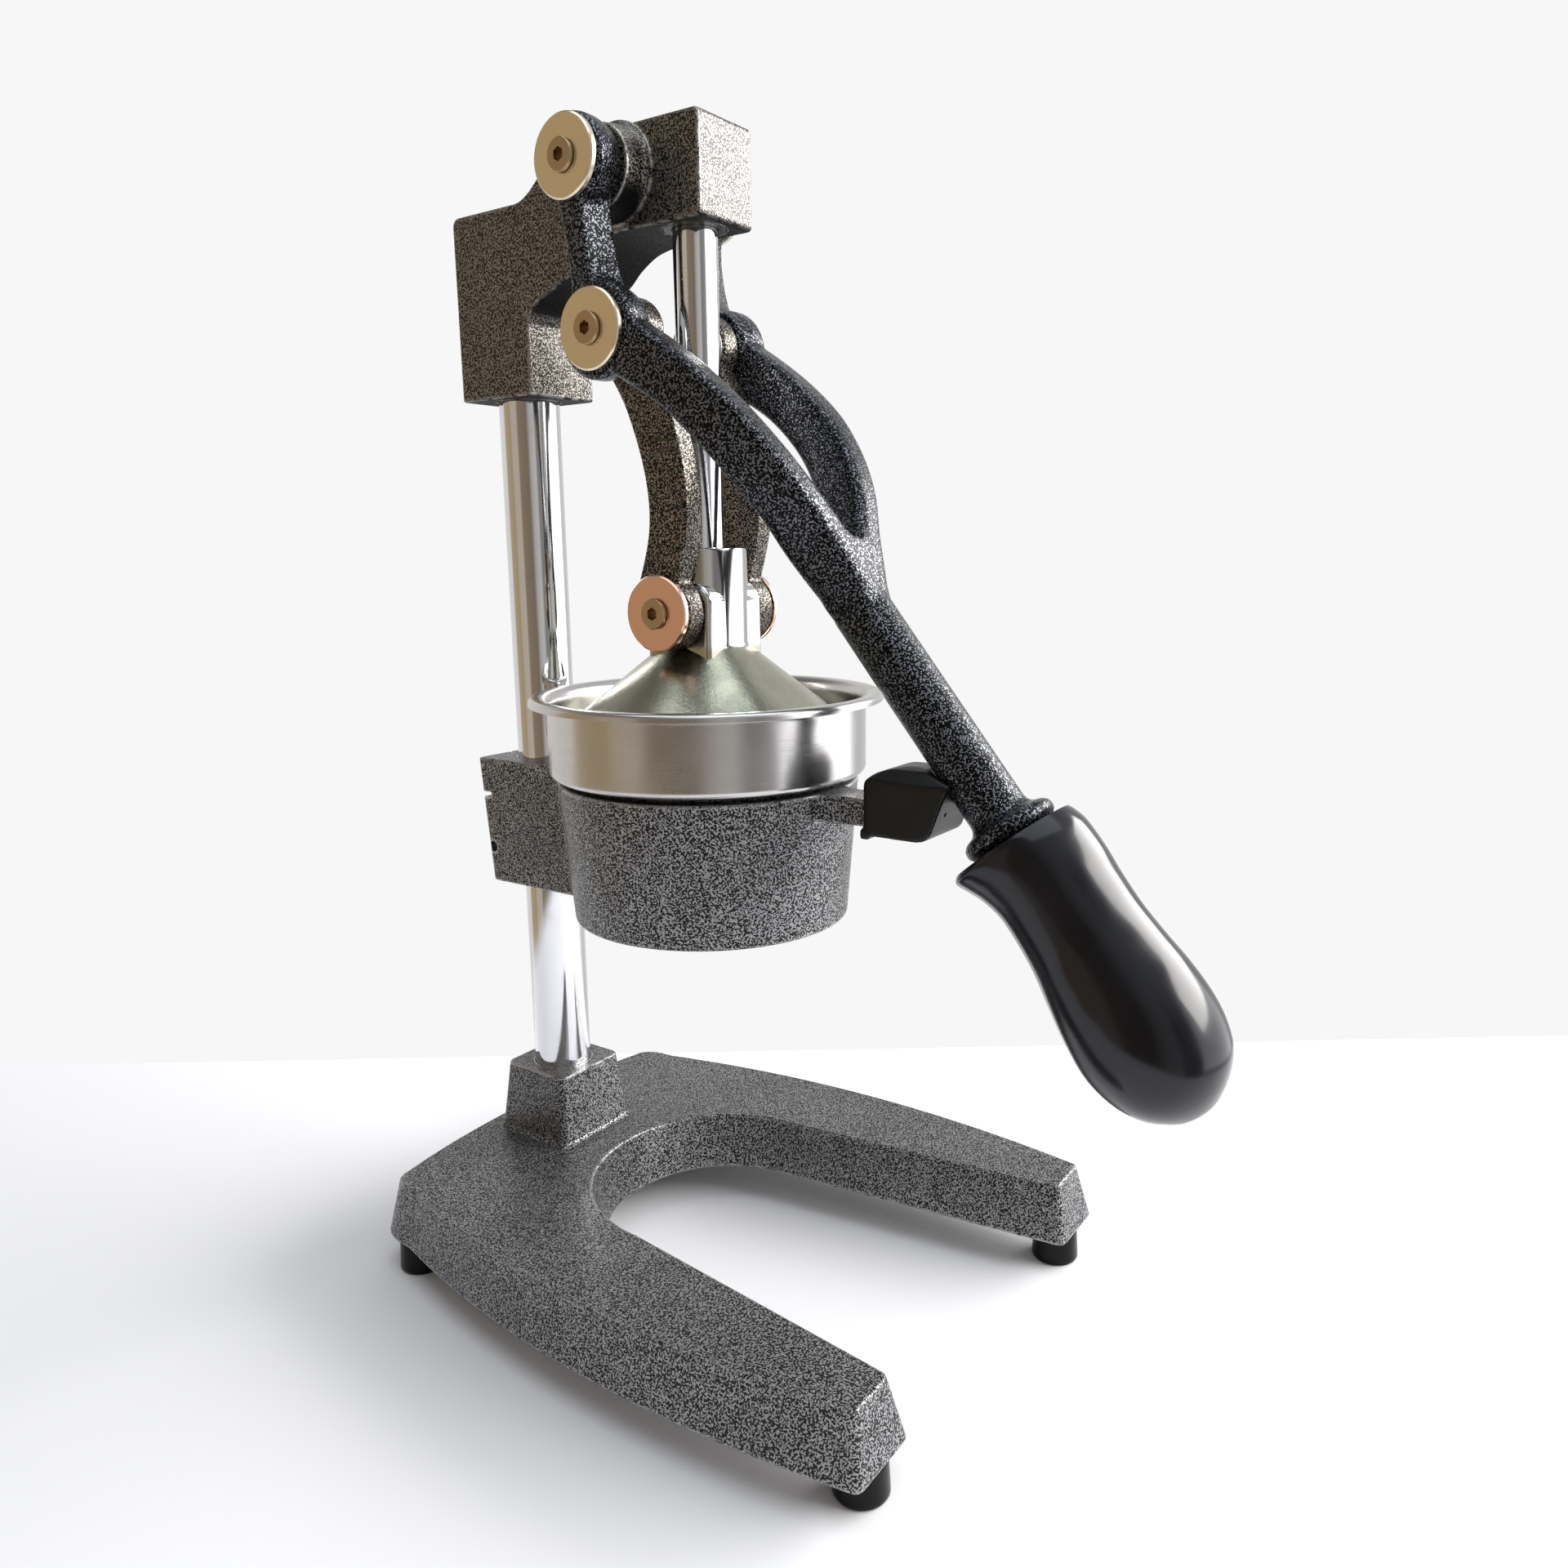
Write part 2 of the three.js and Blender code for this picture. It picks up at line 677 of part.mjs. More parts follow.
function juiceCup() {
  const wallRadius = cupRadius - cupWall / 2;
  const stepFoot = cupFloorZ - cupStepDepth;
  const spoutTop = stepFoot - funnelDrop;
  const rimTop = cupRimZ - cupWall / 2;
  const rimEdge = cupRimRadius - cupWall / 2;
  const bend = cupCornerRadius * (1 - Math.SQRT1_2);
  const line = [
    [spoutRadius - cupWall, spoutTop - spoutLength],
    [spoutRadius, spoutTop],
    [cupStepRadius, stepFoot],
    [cupStepRadius, cupFloorZ - cupWall],
    [cupStepRadius + cupWall, cupFloorZ],
    [wallRadius - cupCornerRadius, cupFloorZ],
    [wallRadius - bend, cupFloorZ + bend],
    [wallRadius, cupFloorZ + cupCornerRadius],
    [wallRadius, rimTop - cupCurl],
    [rimEdge - cupCurl, rimTop],
    [rimEdge, rimTop - cupCurl / 2],
    [rimEdge, rimTop - cupCurl - cupWall / 2],
  ];
  return clean(turnedRing(sheetSection(line, cupWall), largeFacets));
}

// Heights as shares of the cone's height, and radii as shares of its base radius.
const strainerShares = [
  [0, 1],
  [0.26, 0.97],
  [0.42, 0.84],
  [0.62, 0.62],
  [0.8, 0.4],
  [0.92, 0.22],
  [0.985, 0.1],
];

function strainerCone() {
  const ribPoints = strainerRibCount * pointsPerRib;
  const floor = strainerFloorZ + strainerFlangeThickness / 2;
  const ring = (heightShare, radiusShare) => {
    const points = [];
    const rise = Math.min(heightShare / strainerShares[1][0], 1);
    for (let i = 0; i < ribPoints; i += 1) {
      const angle = (2 * Math.PI * i) / ribPoints;
      const wave = (1 - Math.cos(strainerRibCount * angle)) / 2;
      const groove = strainerRibDepth * rise * wave * Math.sqrt(radiusShare);
      const radius = strainerBaseRadius * radiusShare - groove;
      points.push(new THREE.Vector3(radius * Math.cos(angle), radius * Math.sin(angle),
        floor + heightShare * strainerHeight));
    }
    return points;
  };
  const rings = strainerShares.map(([heightShare, radiusShare]) => ring(heightShare, radiusShare));
  const outline = rings[0].map((point) => new THREE.Vector2(point.x, point.y));
  const cone = loft(rings, outline);
  const flangeTop = strainerFloorZ + strainerFlangeThickness;
  const flange = bar(strainerFlangeRadius, strainerFloorZ, flangeTop, largeFacets);
  const hollow = turned([
    [0, strainerFloorZ - overrun],
    [strainerBaseRadius - strainerWall, strainerFloorZ - overrun],
    [strainerBaseRadius - strainerWall, strainerFloorZ + strainerShoulder],
    [strainerWall, strainerFloorZ + strainerHeight - 2 * strainerWall],
    [0, strainerFloorZ + strainerHeight - 2 * strainerWall],
  ], smallFacets);
  const slotLength = slotOuterRadius - slotInnerRadius;
  const slots = Array.from({ length: slotCount }, (_, i) => (
    new THREE.BoxGeometry(slotLength, slotWidth, strainerFlangeThickness + 2 * overrun)
      .translate(slotInnerRadius + slotLength / 2, 0, strainerFloorZ)
      .rotateZ((2 * Math.PI * i) / slotCount)));
  return cut(join(cone, flange), hollow, ...slots);
}

// Head casting

// Underside of the bridge: shares of its run from the post block, and of its rise.
const undersideShares = [[0, 0], [0.06, 0.22], [0.27, 0.4], [0.48, 0.56], [0.62, 0.76], [0.8, 0.93], [1, 1]];

function headSide() {
  const run = headBlockFront - headUndersideY;
  const rise = (headFrontBottomZ - headBottomZ) / 2;
  const underside = undersideShares.map(([along, up]) => new THREE.Vector2(
    headBlockFront - along * run,
    headFrontBottomZ - (1 - up) * rise,
  ));
  const corner = headCornerRadius;
  const side = new THREE.Shape();
  side.moveTo(headBlockFront, headBottomZ);
  new THREE.SplineCurve(underside).getPoints(undersideSteps)
    .forEach((point) => side.lineTo(point.x, point.y));
  side.lineTo(headFront + corner, headFrontBottomZ);
  side.quadraticCurveTo(headFront, headFrontBottomZ, headFront, headFrontBottomZ + corner);
  side.lineTo(headFront, headFrontTopZ - corner);
  side.quadraticCurveTo(headFront, headFrontTopZ, headFront + corner, headFrontTopZ);
  side.lineTo(headRampTopY - corner, headFrontTopZ);
  side.quadraticCurveTo(headRampTopY, headFrontTopZ, headRampTopY + corner, headFrontTopZ - corner);
  side.quadraticCurveTo(headRampFootY - corner, headTopZ, headRampFootY + corner, headTopZ);
  side.lineTo(headRear - corner, headTopZ);
  side.quadraticCurveTo(headRear, headTopZ, headRear, headTopZ - corner);
  side.lineTo(headRear, headBottomZ);
  side.closePath();
  return side;
}

// The casting narrows towards its front.
function narrowed(geometry) {
  const places = geometry.getAttribute('position');
  for (let i = 0; i < places.count; i += 1) {
    const y = THREE.MathUtils.clamp(places.getY(i), 0, headBlockFront);
    const half = THREE.MathUtils.mapLinear(y, 0, headBlockFront, headFrontHalfWidth, headRearHalfWidth);
    places.setX(i, (places.getX(i) * half) / headRearHalfWidth);
  }
  return geometry;
}

const headScrewPlaces = [headBottomZ + headScrewInset, postTop - headScrewInset];

function headCasting() {
  const body = narrowed(sideExtruded(headSide(), -headRearHalfWidth, headRearHalfWidth, headEdge));
  const boss = acrossAt(turned([
    [0, -bossReach],
    [headBossRadius - 2 * headBossEdge, -bossReach],
    [headBossRadius - headBossEdge, -bossReach + headBossEdge],
    [headBossRadius, -headFrontHalfWidth],
    [headBossRadius, headFrontHalfWidth],
    [headBossRadius - headBossEdge, bossReach - headBossEdge],
    [headBossRadius - 2 * headBossEdge, bossReach],
    [0, bossReach],
  ], largeFacets), headPivot);
  const axleHole = acrossBar(pinHoleRadius, -bossReach - overrun, bossReach + overrun, headPivot);
  const postBore = bar(postRadius + clearance, headBottomZ - overrun, postTop + clearance)
    .translate(0, postY, 0);
  const guideRadius = rodRadius + clearance + guideWall + clearance;
  const guideBore = turned([
    [0, headFrontBottomZ - overrun],
    [guideRadius, headFrontBottomZ - overrun],
    [guideRadius, headFrontBottomZ + guideLength + clearance],
    [rodRadius + clearance, headFrontBottomZ + guideLength + clearance],
    [rodRadius + clearance, headFrontTopZ - guideLength - clearance],
    [guideRadius, headFrontTopZ - guideLength - clearance],
    [guideRadius, headFrontTopZ + overrun],
    [0, headFrontTopZ + overrun],
  ]);
  const screwHoles = headScrewPlaces.map((z) => (
    bar(headScrewRadius + clearance, postY, headRear + overrun, smallFacets)
      .rotateX(-Math.PI / 2)
      .translate(0, 0, z)));
  return cut(join(body, boss), axleHole, postBore, guideBore, ...screwHoles);
}

// Set screws press on the back of the post. They have a hexagon socket.
function headScrew(z) {
  const tip = postY + postRadius + clearance;
  const body = bar(headScrewRadius, tip, tip + headScrewLength, smallFacets);
  const socket = bar(headScrewRadius / 2, tip + headScrewLength - headScrewRadius,
    tip + headScrewLength + overrun, hexSides);
  return cut(body, socket).rotateX(-Math.PI / 2).translate(0, 0, z);
}

function guideBush(from, to) {
  return tube(rodRadius + clearance + guideWall, rodRadius + clearance, from, to);
}

// Pivots: pins, bushes, caps and cap screws

// A pin along X with a tapped hole for the cap screw at each named end.
function pivotPin(from, to, tappedEnds, pivot) {
  const holes = tappedEnds.map((end) => {
    const inward = Math.sign((from + to) / 2 - end) || -Math.sign(end);
    const mouth = end - inward * overrun;
    const bottom = end + inward * (capScrewLength + clearance);
    const [low, high] = [Math.min(mouth, bottom), Math.max(mouth, bottom)];
    return acrossBar(capScrewRadius + clearance, low, high, pivot, smallFacets);
  });
  return cut(acrossBar(pinRadius, from, to, pivot, smallFacets), ...holes);
}

function pivotBush(from, to, pivot) {
  return acrossAt(tube(bushRadius, pinHoleRadius, from, to, smallFacets), pivot);
}

// Flat polished cap with a chamfered edge. The screw's button head stands on its face.
function pivotCap(face, pivot) {
  const back = face + clearance;
  const front = back + capThickness;
  return acrossAt(turnedRing([
    [capScrewRadius + clearance, back],
    [capRadius, back],
    [capRadius, front - capEdge],
    [capRadius - capEdge, front],
    [capScrewRadius + clearance, front],
  ], mediumFacets), pivot);
}

function capScrew(face, pivot) {
  const seat = face + 2 * clearance + capThickness;
  const crown = seat + capScrewHeadHeight;
  const body = turned([
    [0, face - capScrewLength],
    [capScrewRadius, face - capScrewLength],
    [capScrewRadius, seat],
    [capScrewHeadRadius, seat],
    [capScrewHeadRadius, crown],
    [0, crown],
  ], smallFacets);
  const socket = bar(hexKeyRadius, crown - hexKeyDepth, crown + overrun, hexSides);
  return acrossAt(cut(body, socket), pivot);
}

// Forked lever

// Bar of rounded section along a route. Each station has a place, the direction across it in the
// middle plane, and its half sizes. Squareness 1 is an ellipse, and more is nearer a rectangle.
function sweptBar(stations, facets = smallFacets) {
  const round = (value, power) => Math.sign(value) * Math.abs(value) ** (1 / power);
  const section = ({ place, up, halfWidth, halfHeight, squareness }) => (
    Array.from({ length: facets }, (_, i) => {
      const angle = (2 * Math.PI * (i + 1 / 2)) / facets;
      return place.clone()
        .add(new THREE.Vector3(halfWidth * round(Math.cos(angle), squareness), 0, 0))
        .addScaledVector(up, halfHeight * round(Math.sin(angle), squareness));
    }));
  const outline = Array.from({ length: facets }, (_, i) => {
    const angle = (2 * Math.PI * i) / facets;
    return new THREE.Vector2(Math.cos(angle), Math.sin(angle));
  });
  return loft(stations.map(section), outline);
}

// Each row: share of the way from the mid pivot to the head of the shank, rise above that line as
// a share of the arm's height, side step as a share of the hub's, and section sizes as shares.
const armShares = [
  { along: 0, rise: 0, spread: 1, width: 1, height: 1, squareness: 1.6 },
  { along: 0.14, rise: 0.24, spread: 1, width: 1, height: 1, squareness: 1.6 },
  { along: 0.3, rise: 0.47, spread: 0.97, width: 1, height: 1, squareness: 1.5 },
  { along: 0.46, rise: 0.58, spread: 0.91, width: 1, height: 1, squareness: 1.4 },
  { along: 0.61, rise: 0.6, spread: 0.75, width: 1, height: 1, squareness: 1.3 },
  { along: 0.74, rise: 0.5, spread: 0.52, width: 1, height: 1, squareness: 1.2 },
  { along: 0.87, rise: 0.29, spread: 0.26, width: 1.08, height: 1, squareness: 1.1 },
  { along: 1.06, rise: -0.03, spread: 0.04, width: 1.2, height: 0.97, squareness: 1 },
];

function leverArm() {
  const start = new THREE.Vector3(0, midPivot.x, midPivot.y);
  const end = collarCentre.clone().addScaledVector(shankAxis, -shankLength);
  const line = end.clone().sub(start);
  const across = new THREE.Vector3(0, line.z, -line.y).normalize();
  if (across.z < 0) across.negate();
  const places = armShares.map(({ along, rise, spread }) => start.clone()
    .addScaledVector(line, along)
    .addScaledVector(across, rise * armHeight)
    .setX(spread * hubMiddle));
  const stations = armShares.map(({ width, height, squareness }, i) => {
    const before = places[Math.max(i - 1, 0)];
    const after = places[Math.min(i + 1, places.length - 1)];
    const up = new THREE.Vector3(0, after.z - before.z, before.y - after.y).normalize();
    if (up.z < 0) up.negate();
    return {
      place: places[i],
      up,
      halfWidth: (width * hubWidth) / 2,
      halfHeight: (height * armHeight) / 2,
      squareness,
    };
  });
  return sweptBar(stations);
}

// Neck between the two hubs of one side, waisted in the middle.
const neckSquareness = 1.7;
const neckShares = [[0, 1], [0.3, 0.15], [0.5, 0], [0.7, 0.15], [1, 1]];

function leverNeck() {
  const top = new THREE.Vector3(hubMiddle, headPivot.x, headPivot.y);
  const bottom = new THREE.Vector3(hubMiddle, midPivot.x, midPivot.y);
  const across = new THREE.Vector3(0, -crankArm.y, crankArm.x);
  return sweptBar(neckShares.map(([along, flare]) => ({
    place: top.clone().lerp(bottom, along),
    up: across,
    halfWidth: hubWidth / 2,
    halfHeight: THREE.MathUtils.lerp(neckWidth, neckFlare, flare) / 2,
    squareness: neckSquareness,
  })));
}

function leverHub(outer, inner, pivot) {
  return acrossAt(turned([
    [0, hubInner],
    [inner - hubEdge, hubInner],
    [inner, hubInner + hubEdge],
    [outer, hubMiddle],
    [outer, hubReach - hubEdge],
    [outer - hubEdge, hubReach],
    [0, hubReach],
  ], mediumFacets), pivot);
}

function leverCasting() {
  const side = join(
    leverHub(topHubRadius, topHubWaist, headPivot),
    leverHub(midHubRadius, midHubRadius - hubEdge, midPivot),
    leverNeck(),
    leverArm(),
  );
  const bore = (pivot) => (
    acrossBar(bushHoleRadius, hubInner - overrun, hubReach + overrun, pivot, smallFacets));
  const bored = cut(side, bore(headPivot), bore(midPivot));
  const stem = turned([
    [0, -shankLength - shankRadius],
    [shankRadius / 2, -shankLength - shankRadius],
    [shankRadius, -shankLength + shankRadius / 2],
    [shankRadius, -collarThickness / 2],
    [collarRadius - collarEdge, -collarThickness / 2],
    [collarRadius, -collarThickness / 2 + collarEdge],
    [collarRadius, collarThickness / 2 - collarEdge],
    [collarRadius - collarEdge, collarThickness / 2],
    [tangRadius, collarThickness / 2],
    [tangRadius, tangLength],
    [0, tangLength],
  ]);
  return join(...bothSides(bored), aimed(stem, shankAxis, collarCentre));
}

// Grip. Each row: share of the length, radius of the underside and of the upper side as shares of
// the largest radius. The underside flares to a finger lip at the top.
const gripShares = [
  [0, 0.97, 0.84],
  [0.02, 1.02, 0.88],
  [0.06, 0.93, 0.93],
  [0.11, 0.82, 0.945],
  [0.18, 0.735, 0.945],
  [0.27, 0.735, 0.92],
  [0.38, 0.775, 0.915],
  [0.49, 0.87, 0.95],
  [0.6, 0.95, 1],
  [0.71, 0.99, 1.01],
  [0.8, 0.94, 0.955],
  [0.88, 0.81, 0.825],
  [0.94, 0.62, 0.6],
  [0.985, 0.34, 0.31],
  [1, 0.12, 0.1],
];

// A higher power keeps the upper radius further round the grip's sides.
const gripBlendPower = 1.5;

function grip() {
  const top = collarThickness / 2 + clearance;
  const facets = mediumFacets;
  const ring = ([along, lower, upper]) => Array.from({ length: facets }, (_, i) => {
    const angle = (2 * Math.PI * i) / facets;
    const blend = ((1 - Math.cos(angle)) / 2) ** gripBlendPower;
    const radius = gripRadius * THREE.MathUtils.lerp(upper, lower, blend);
    return collarCentre.clone()
      .addScaledVector(shankAxis, top + along * gripLength)
      .addScaledVector(shankUp, radius * Math.cos(angle))
      .add(new THREE.Vector3(radius * Math.sin(angle), 0, 0));
  });
  const outline = Array.from({ length: facets }, (_, i) => {
    const angle = (2 * Math.PI * i) / facets;
    return new THREE.Vector2(Math.cos(angle), Math.sin(angle));
  });
  const body = loft(gripShares.map(ring), outline);
  const bore = bar(tangRadius + clearance, top - overrun, tangLength + clearance, smallFacets);
  return cut(body, aimed(bore, shankAxis, collarCentre));
}

// Links

// Edges of the strap: share of the way from the lower pivot to the upper one, and of the bow.
const strapFrontShares = [[0.3, 0.84], [0.5, 1], [0.72, 0.7]];
const strapRearShares = [[0.74, 0.62], [0.5, 1], [0.3, 0.84]];

// Side view of a link: two eyes joined by a strap that bows forward.
function linkSide() {
  const chord = midPivot.clone().sub(pressPivot);
  const along = chord.clone().normalize();
  const forward = new THREE.Vector2(-along.y, along.x);
  const point = (share, shift) => pressPivot.clone()
    .addScaledVector(chord, share)
    .addScaledVector(forward, shift);
  const direction = Math.atan2(along.y, along.x);
  const half = linkWidth / 2;
  const lowerTurn = Math.asin(half / linkBottomEyeRadius);
  const upperTurn = Math.asin(half / linkTopEyeRadius);
  const frontPoints = strapFrontShares.map(([share, bow]) => point(share, half + linkBow * bow));
  const rearPoints = strapRearShares.map(([share, bow]) => point(share, -half + linkBow * bow));
  const shape = new THREE.Shape();
  shape.absarc(pressPivot.x, pressPivot.y, linkBottomEyeRadius, direction - lowerTurn - 2 * Math.PI,
    direction + lowerTurn, true);
  const topStart = new THREE.Vector2(
    midPivot.x + linkTopEyeRadius * Math.cos(direction + Math.PI - upperTurn),
    midPivot.y + linkTopEyeRadius * Math.sin(direction + Math.PI - upperTurn),
  );
  const lowerFront = new THREE.Vector2(
    pressPivot.x + linkBottomEyeRadius * Math.cos(direction + lowerTurn),
    pressPivot.y + linkBottomEyeRadius * Math.sin(direction + lowerTurn),
  );
  const follow = (points) => new THREE.SplineCurve(points).getPoints(strapSteps).slice(1, -1)
    .forEach((place) => shape.lineTo(place.x, place.y));
  follow([lowerFront, ...frontPoints, topStart]);
  shape.absarc(midPivot.x, midPivot.y, linkTopEyeRadius, direction + Math.PI - upperTurn,
    direction - Math.PI + upperTurn, true);
  const topEnd = new THREE.Vector2(
    midPivot.x + linkTopEyeRadius * Math.cos(direction + Math.PI + upperTurn),
    midPivot.y + linkTopEyeRadius * Math.sin(direction + Math.PI + upperTurn),
  );
  const lowerRear = new THREE.Vector2(
    pressPivot.x + linkBottomEyeRadius * Math.cos(direction - lowerTurn),
    pressPivot.y + linkBottomEyeRadius * Math.sin(direction - lowerTurn),
  );
  follow([topEnd, ...rearPoints, lowerRear]);
  shape.closePath();
  return shape;
}

function link() {
  const body = sideExtruded(linkSide(), linkInner, linkInner + linkThickness, linkEdge);
  const bore = (pivot) => (
    acrossBar(bushHoleRadius, linkInner - overrun, bossReach + overrun, pivot, smallFacets));
  return cut(body, bore(midPivot), bore(pressPivot));
}

// Plunger

function plungerRod() {
  return bar(rodRadius, rodSeatZ + clearance, headFrontTopZ - rodTopGap, mediumFacets, rodEdge);
}

const coneSlope = Math.tan(THREE.MathUtils.degToRad(coneSlopeDegrees));
const coneZ = (radius) => coneNeckZ - (radius - sleeveRadius) * coneSlope;

function pressHead() {
  const wallDrop = pressWall / Math.cos(Math.atan(coneSlope));
  const cavityRadius = pressRadius - pressWall;
  const body = turned([
    [0, pressBottomZ],
    [pressRadius - pressWall / 2, pressBottomZ],
    [pressRadius, pressBottomZ + pressWall / 2],
    [pressRadius, coneZ(pressRadius)],
    [sleeveRadius, coneNeckZ],
    [sleeveRadius, sleeveTopZ - rodEdge],
    [sleeveRadius - rodEdge, sleeveTopZ],
    [0, sleeveTopZ],
  ], largeFacets);
  const earSide = new THREE.Shape();
  const earFoot = coneZ(Math.hypot(earReach, earHalfWidth)) - wallDrop / 2;
  earSide.moveTo(earHalfWidth, earFoot);
  earSide.lineTo(earHalfWidth, earTopZ - earHalfWidth / 2);
  earSide.bezierCurveTo(earHalfWidth, earTopZ + earHalfWidth / 6, -earHalfWidth, earTopZ + earHalfWidth / 6,
    -earHalfWidth, earTopZ - earHalfWidth / 2);
  earSide.lineTo(-earHalfWidth, earFoot);
  earSide.closePath();
  const ears = sideExtruded(earSide, -earReach, earReach, rodEdge);
  const cavity = turned([
    [0, pressBottomZ - overrun],
    [cavityRadius, pressBottomZ - overrun],
    [cavityRadius, coneZ(cavityRadius) - wallDrop],
    [cavityTopRadius, coneZ(cavityTopRadius) - wallDrop],
    [0, coneZ(cavityTopRadius) - wallDrop],
  ], largeFacets);
  const rodBore = bar(rodRadius + clearance, rodSeatZ, sleeveTopZ + overrun);
  const pinHole = acrossBar(pinHoleRadius, pressPinSeat, earReach + overrun, pressPivot, smallFacets);
  const screwHole = bar(pressScrewRadius + clearance, rodRadius, sleeveRadius + overrun, smallFacets)
    .rotateX(Math.PI / 2).scale(1, -1, 1).translate(0, 0, pressScrewZ);
  return cut(join(body, ears), cavity, rodBore, ...bothSides(pinHole), screwHole);
}

// Set screw behind the sleeve, which locks the press head to the rod.
function pressScrew() {
  const tip = rodRadius + clearance;
  const body = bar(pressScrewRadius, tip, tip + pressScrewLength, smallFacets);
  const socket = bar(pressScrewRadius / 2, tip + pressScrewLength - pressScrewRadius,
    tip + pressScrewLength + overrun, hexSides);
  return cut(body, socket).rotateX(-Math.PI / 2).translate(0, 0, pressScrewZ);
}

// Assembly

const press = new THREE.Group();

function addPiece(group, name, geometry, material) {
  const facets = clean(geometry).toNonIndexed();
  facets.computeVertexNormals();
  const mesh = new THREE.Mesh(facets, material);
  mesh.name = name;
  group.add(mesh);
}

// The same piece on the left and on the right, from the geometry of the right one.
function addPair(group, name, geometry, material) {
  addPiece(group, `${name}_right`, geometry, material);
  addPiece(group, `${name}_left`, mirrored(geometry), material);
}

const stand = new THREE.Group();
addPiece(stand, 'base_casting', baseCasting(), baseEnamel);
for (const [corner, [x, y]] of Object.entries(footPlaces)) {
  addPiece(stand, `foot_${corner}`, foot().translate(x, y, 0), rubber);
  addPiece(stand, `foot_screw_${corner}`, footScrew().translate(x, y, 0), darkSteel);
}
addPiece(stand, 'rear_post', rearPost(), chrome);
addPiece(stand, 'post_bolt', postBolt(), darkSteel);
addPiece(stand, 'post_washer', postWasher(), darkSteel);
addPiece(stand, 'cup_holder', cupHolder(), baseEnamel);
addPiece(stand, 'holder_clamp_screw', clampScrew(), darkSteel);
addPiece(stand, 'rest_pad', restPad(), rubber);
addPiece(stand, 'head_casting', headCasting(), darkEnamel);
addPiece(stand, 'head_screw_lower', headScrew(headScrewPlaces[0]), darkSteel);
addPiece(stand, 'head_screw_upper', headScrew(headScrewPlaces[1]), darkSteel);
addPiece(stand, 'guide_bush_lower', guideBush(headFrontBottomZ, headFrontBottomZ + guideLength), bronze);
addPiece(stand, 'guide_bush_upper', guideBush(headFrontTopZ - guideLength, headFrontTopZ), bronze);
addPiece(stand, 'head_axle', pivotPin(-hubReach, hubReach, [-hubReach, hubReach], headPivot), steel);
addPair(stand, 'head_axle_cap', pivotCap(hubReach, headPivot), pinCap);
addPair(stand, 'head_axle_screw', capScrew(hubReach, headPivot), pinCap);
press.add(stand);

const cup = new THREE.Group();
addPiece(cup, 'juice_cup', juiceCup(), steel);
addPiece(cup, 'strainer_cone', strainerCone(), aluminium);
press.add(cup);

const lever = new THREE.Group();
addPiece(lever, 'lever_casting', leverCasting(), darkEnamel);
addPiece(lever, 'lever_grip', grip(), gripPlastic);
addPair(lever, 'lever_top_bush', pivotBush(hubInner, hubReach, headPivot), bronze);
addPair(lever, 'crank_bush', pivotBush(hubInner, hubReach, midPivot), bronze);
addPair(lever, 'crank_pin', pivotPin(hubInner, hubReach, [hubReach], midPivot), steel);
addPair(lever, 'crank_pin_cap', pivotCap(hubReach, midPivot), pinCap);
addPair(lever, 'crank_pin_screw', capScrew(hubReach, midPivot), pinCap);
press.add(lever);

const links = new THREE.Group();
addPair(links, 'link', link(), darkEnamel);
addPair(links, 'link_top_bush', pivotBush(linkInner, bossReach, midPivot), bronze);
addPair(links, 'link_bottom_bush', pivotBush(linkInner, bossReach, pressPivot), bronze);
press.add(links);

const plunger = new THREE.Group();
addPiece(plunger, 'plunger_rod', plungerRod(), chrome);
addPiece(plunger, 'press_head', pressHead(), aluminium);
addPiece(plunger, 'press_set_screw', pressScrew(), darkSteel);
addPair(plunger, 'press_pin', pivotPin(pressPinSeat + clearance, bossReach, [bossReach], pressPivot), steel);
addPair(plunger, 'press_pin_cap', pivotCap(bossReach, pressPivot), pinCap);
addPair(plunger, 'press_pin_screw', capScrew(bossReach, pressPivot), pinCap);
press.add(plunger);

// The origin is on the table, under the middle of the whole press.
const extent = new THREE.Box3().setFromObject(press);
press.position.y = -(extent.min.y + extent.max.y) / 2;

export default press;
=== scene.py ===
"""Lever citrus juice press: fine pieces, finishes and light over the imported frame.

Sizes are millimetres in the press's own frame: X runs across the press, Y from the plunger's
axis towards the back, and Z up from the table. The Bench turns them to the frame's metres.
"""

import json
import logging
import math
from collections.abc import Iterable, Sequence
from dataclasses import dataclass
from enum import Enum
from typing import Any

import bmesh
import bpy
from mathutils import Matrix, Vector

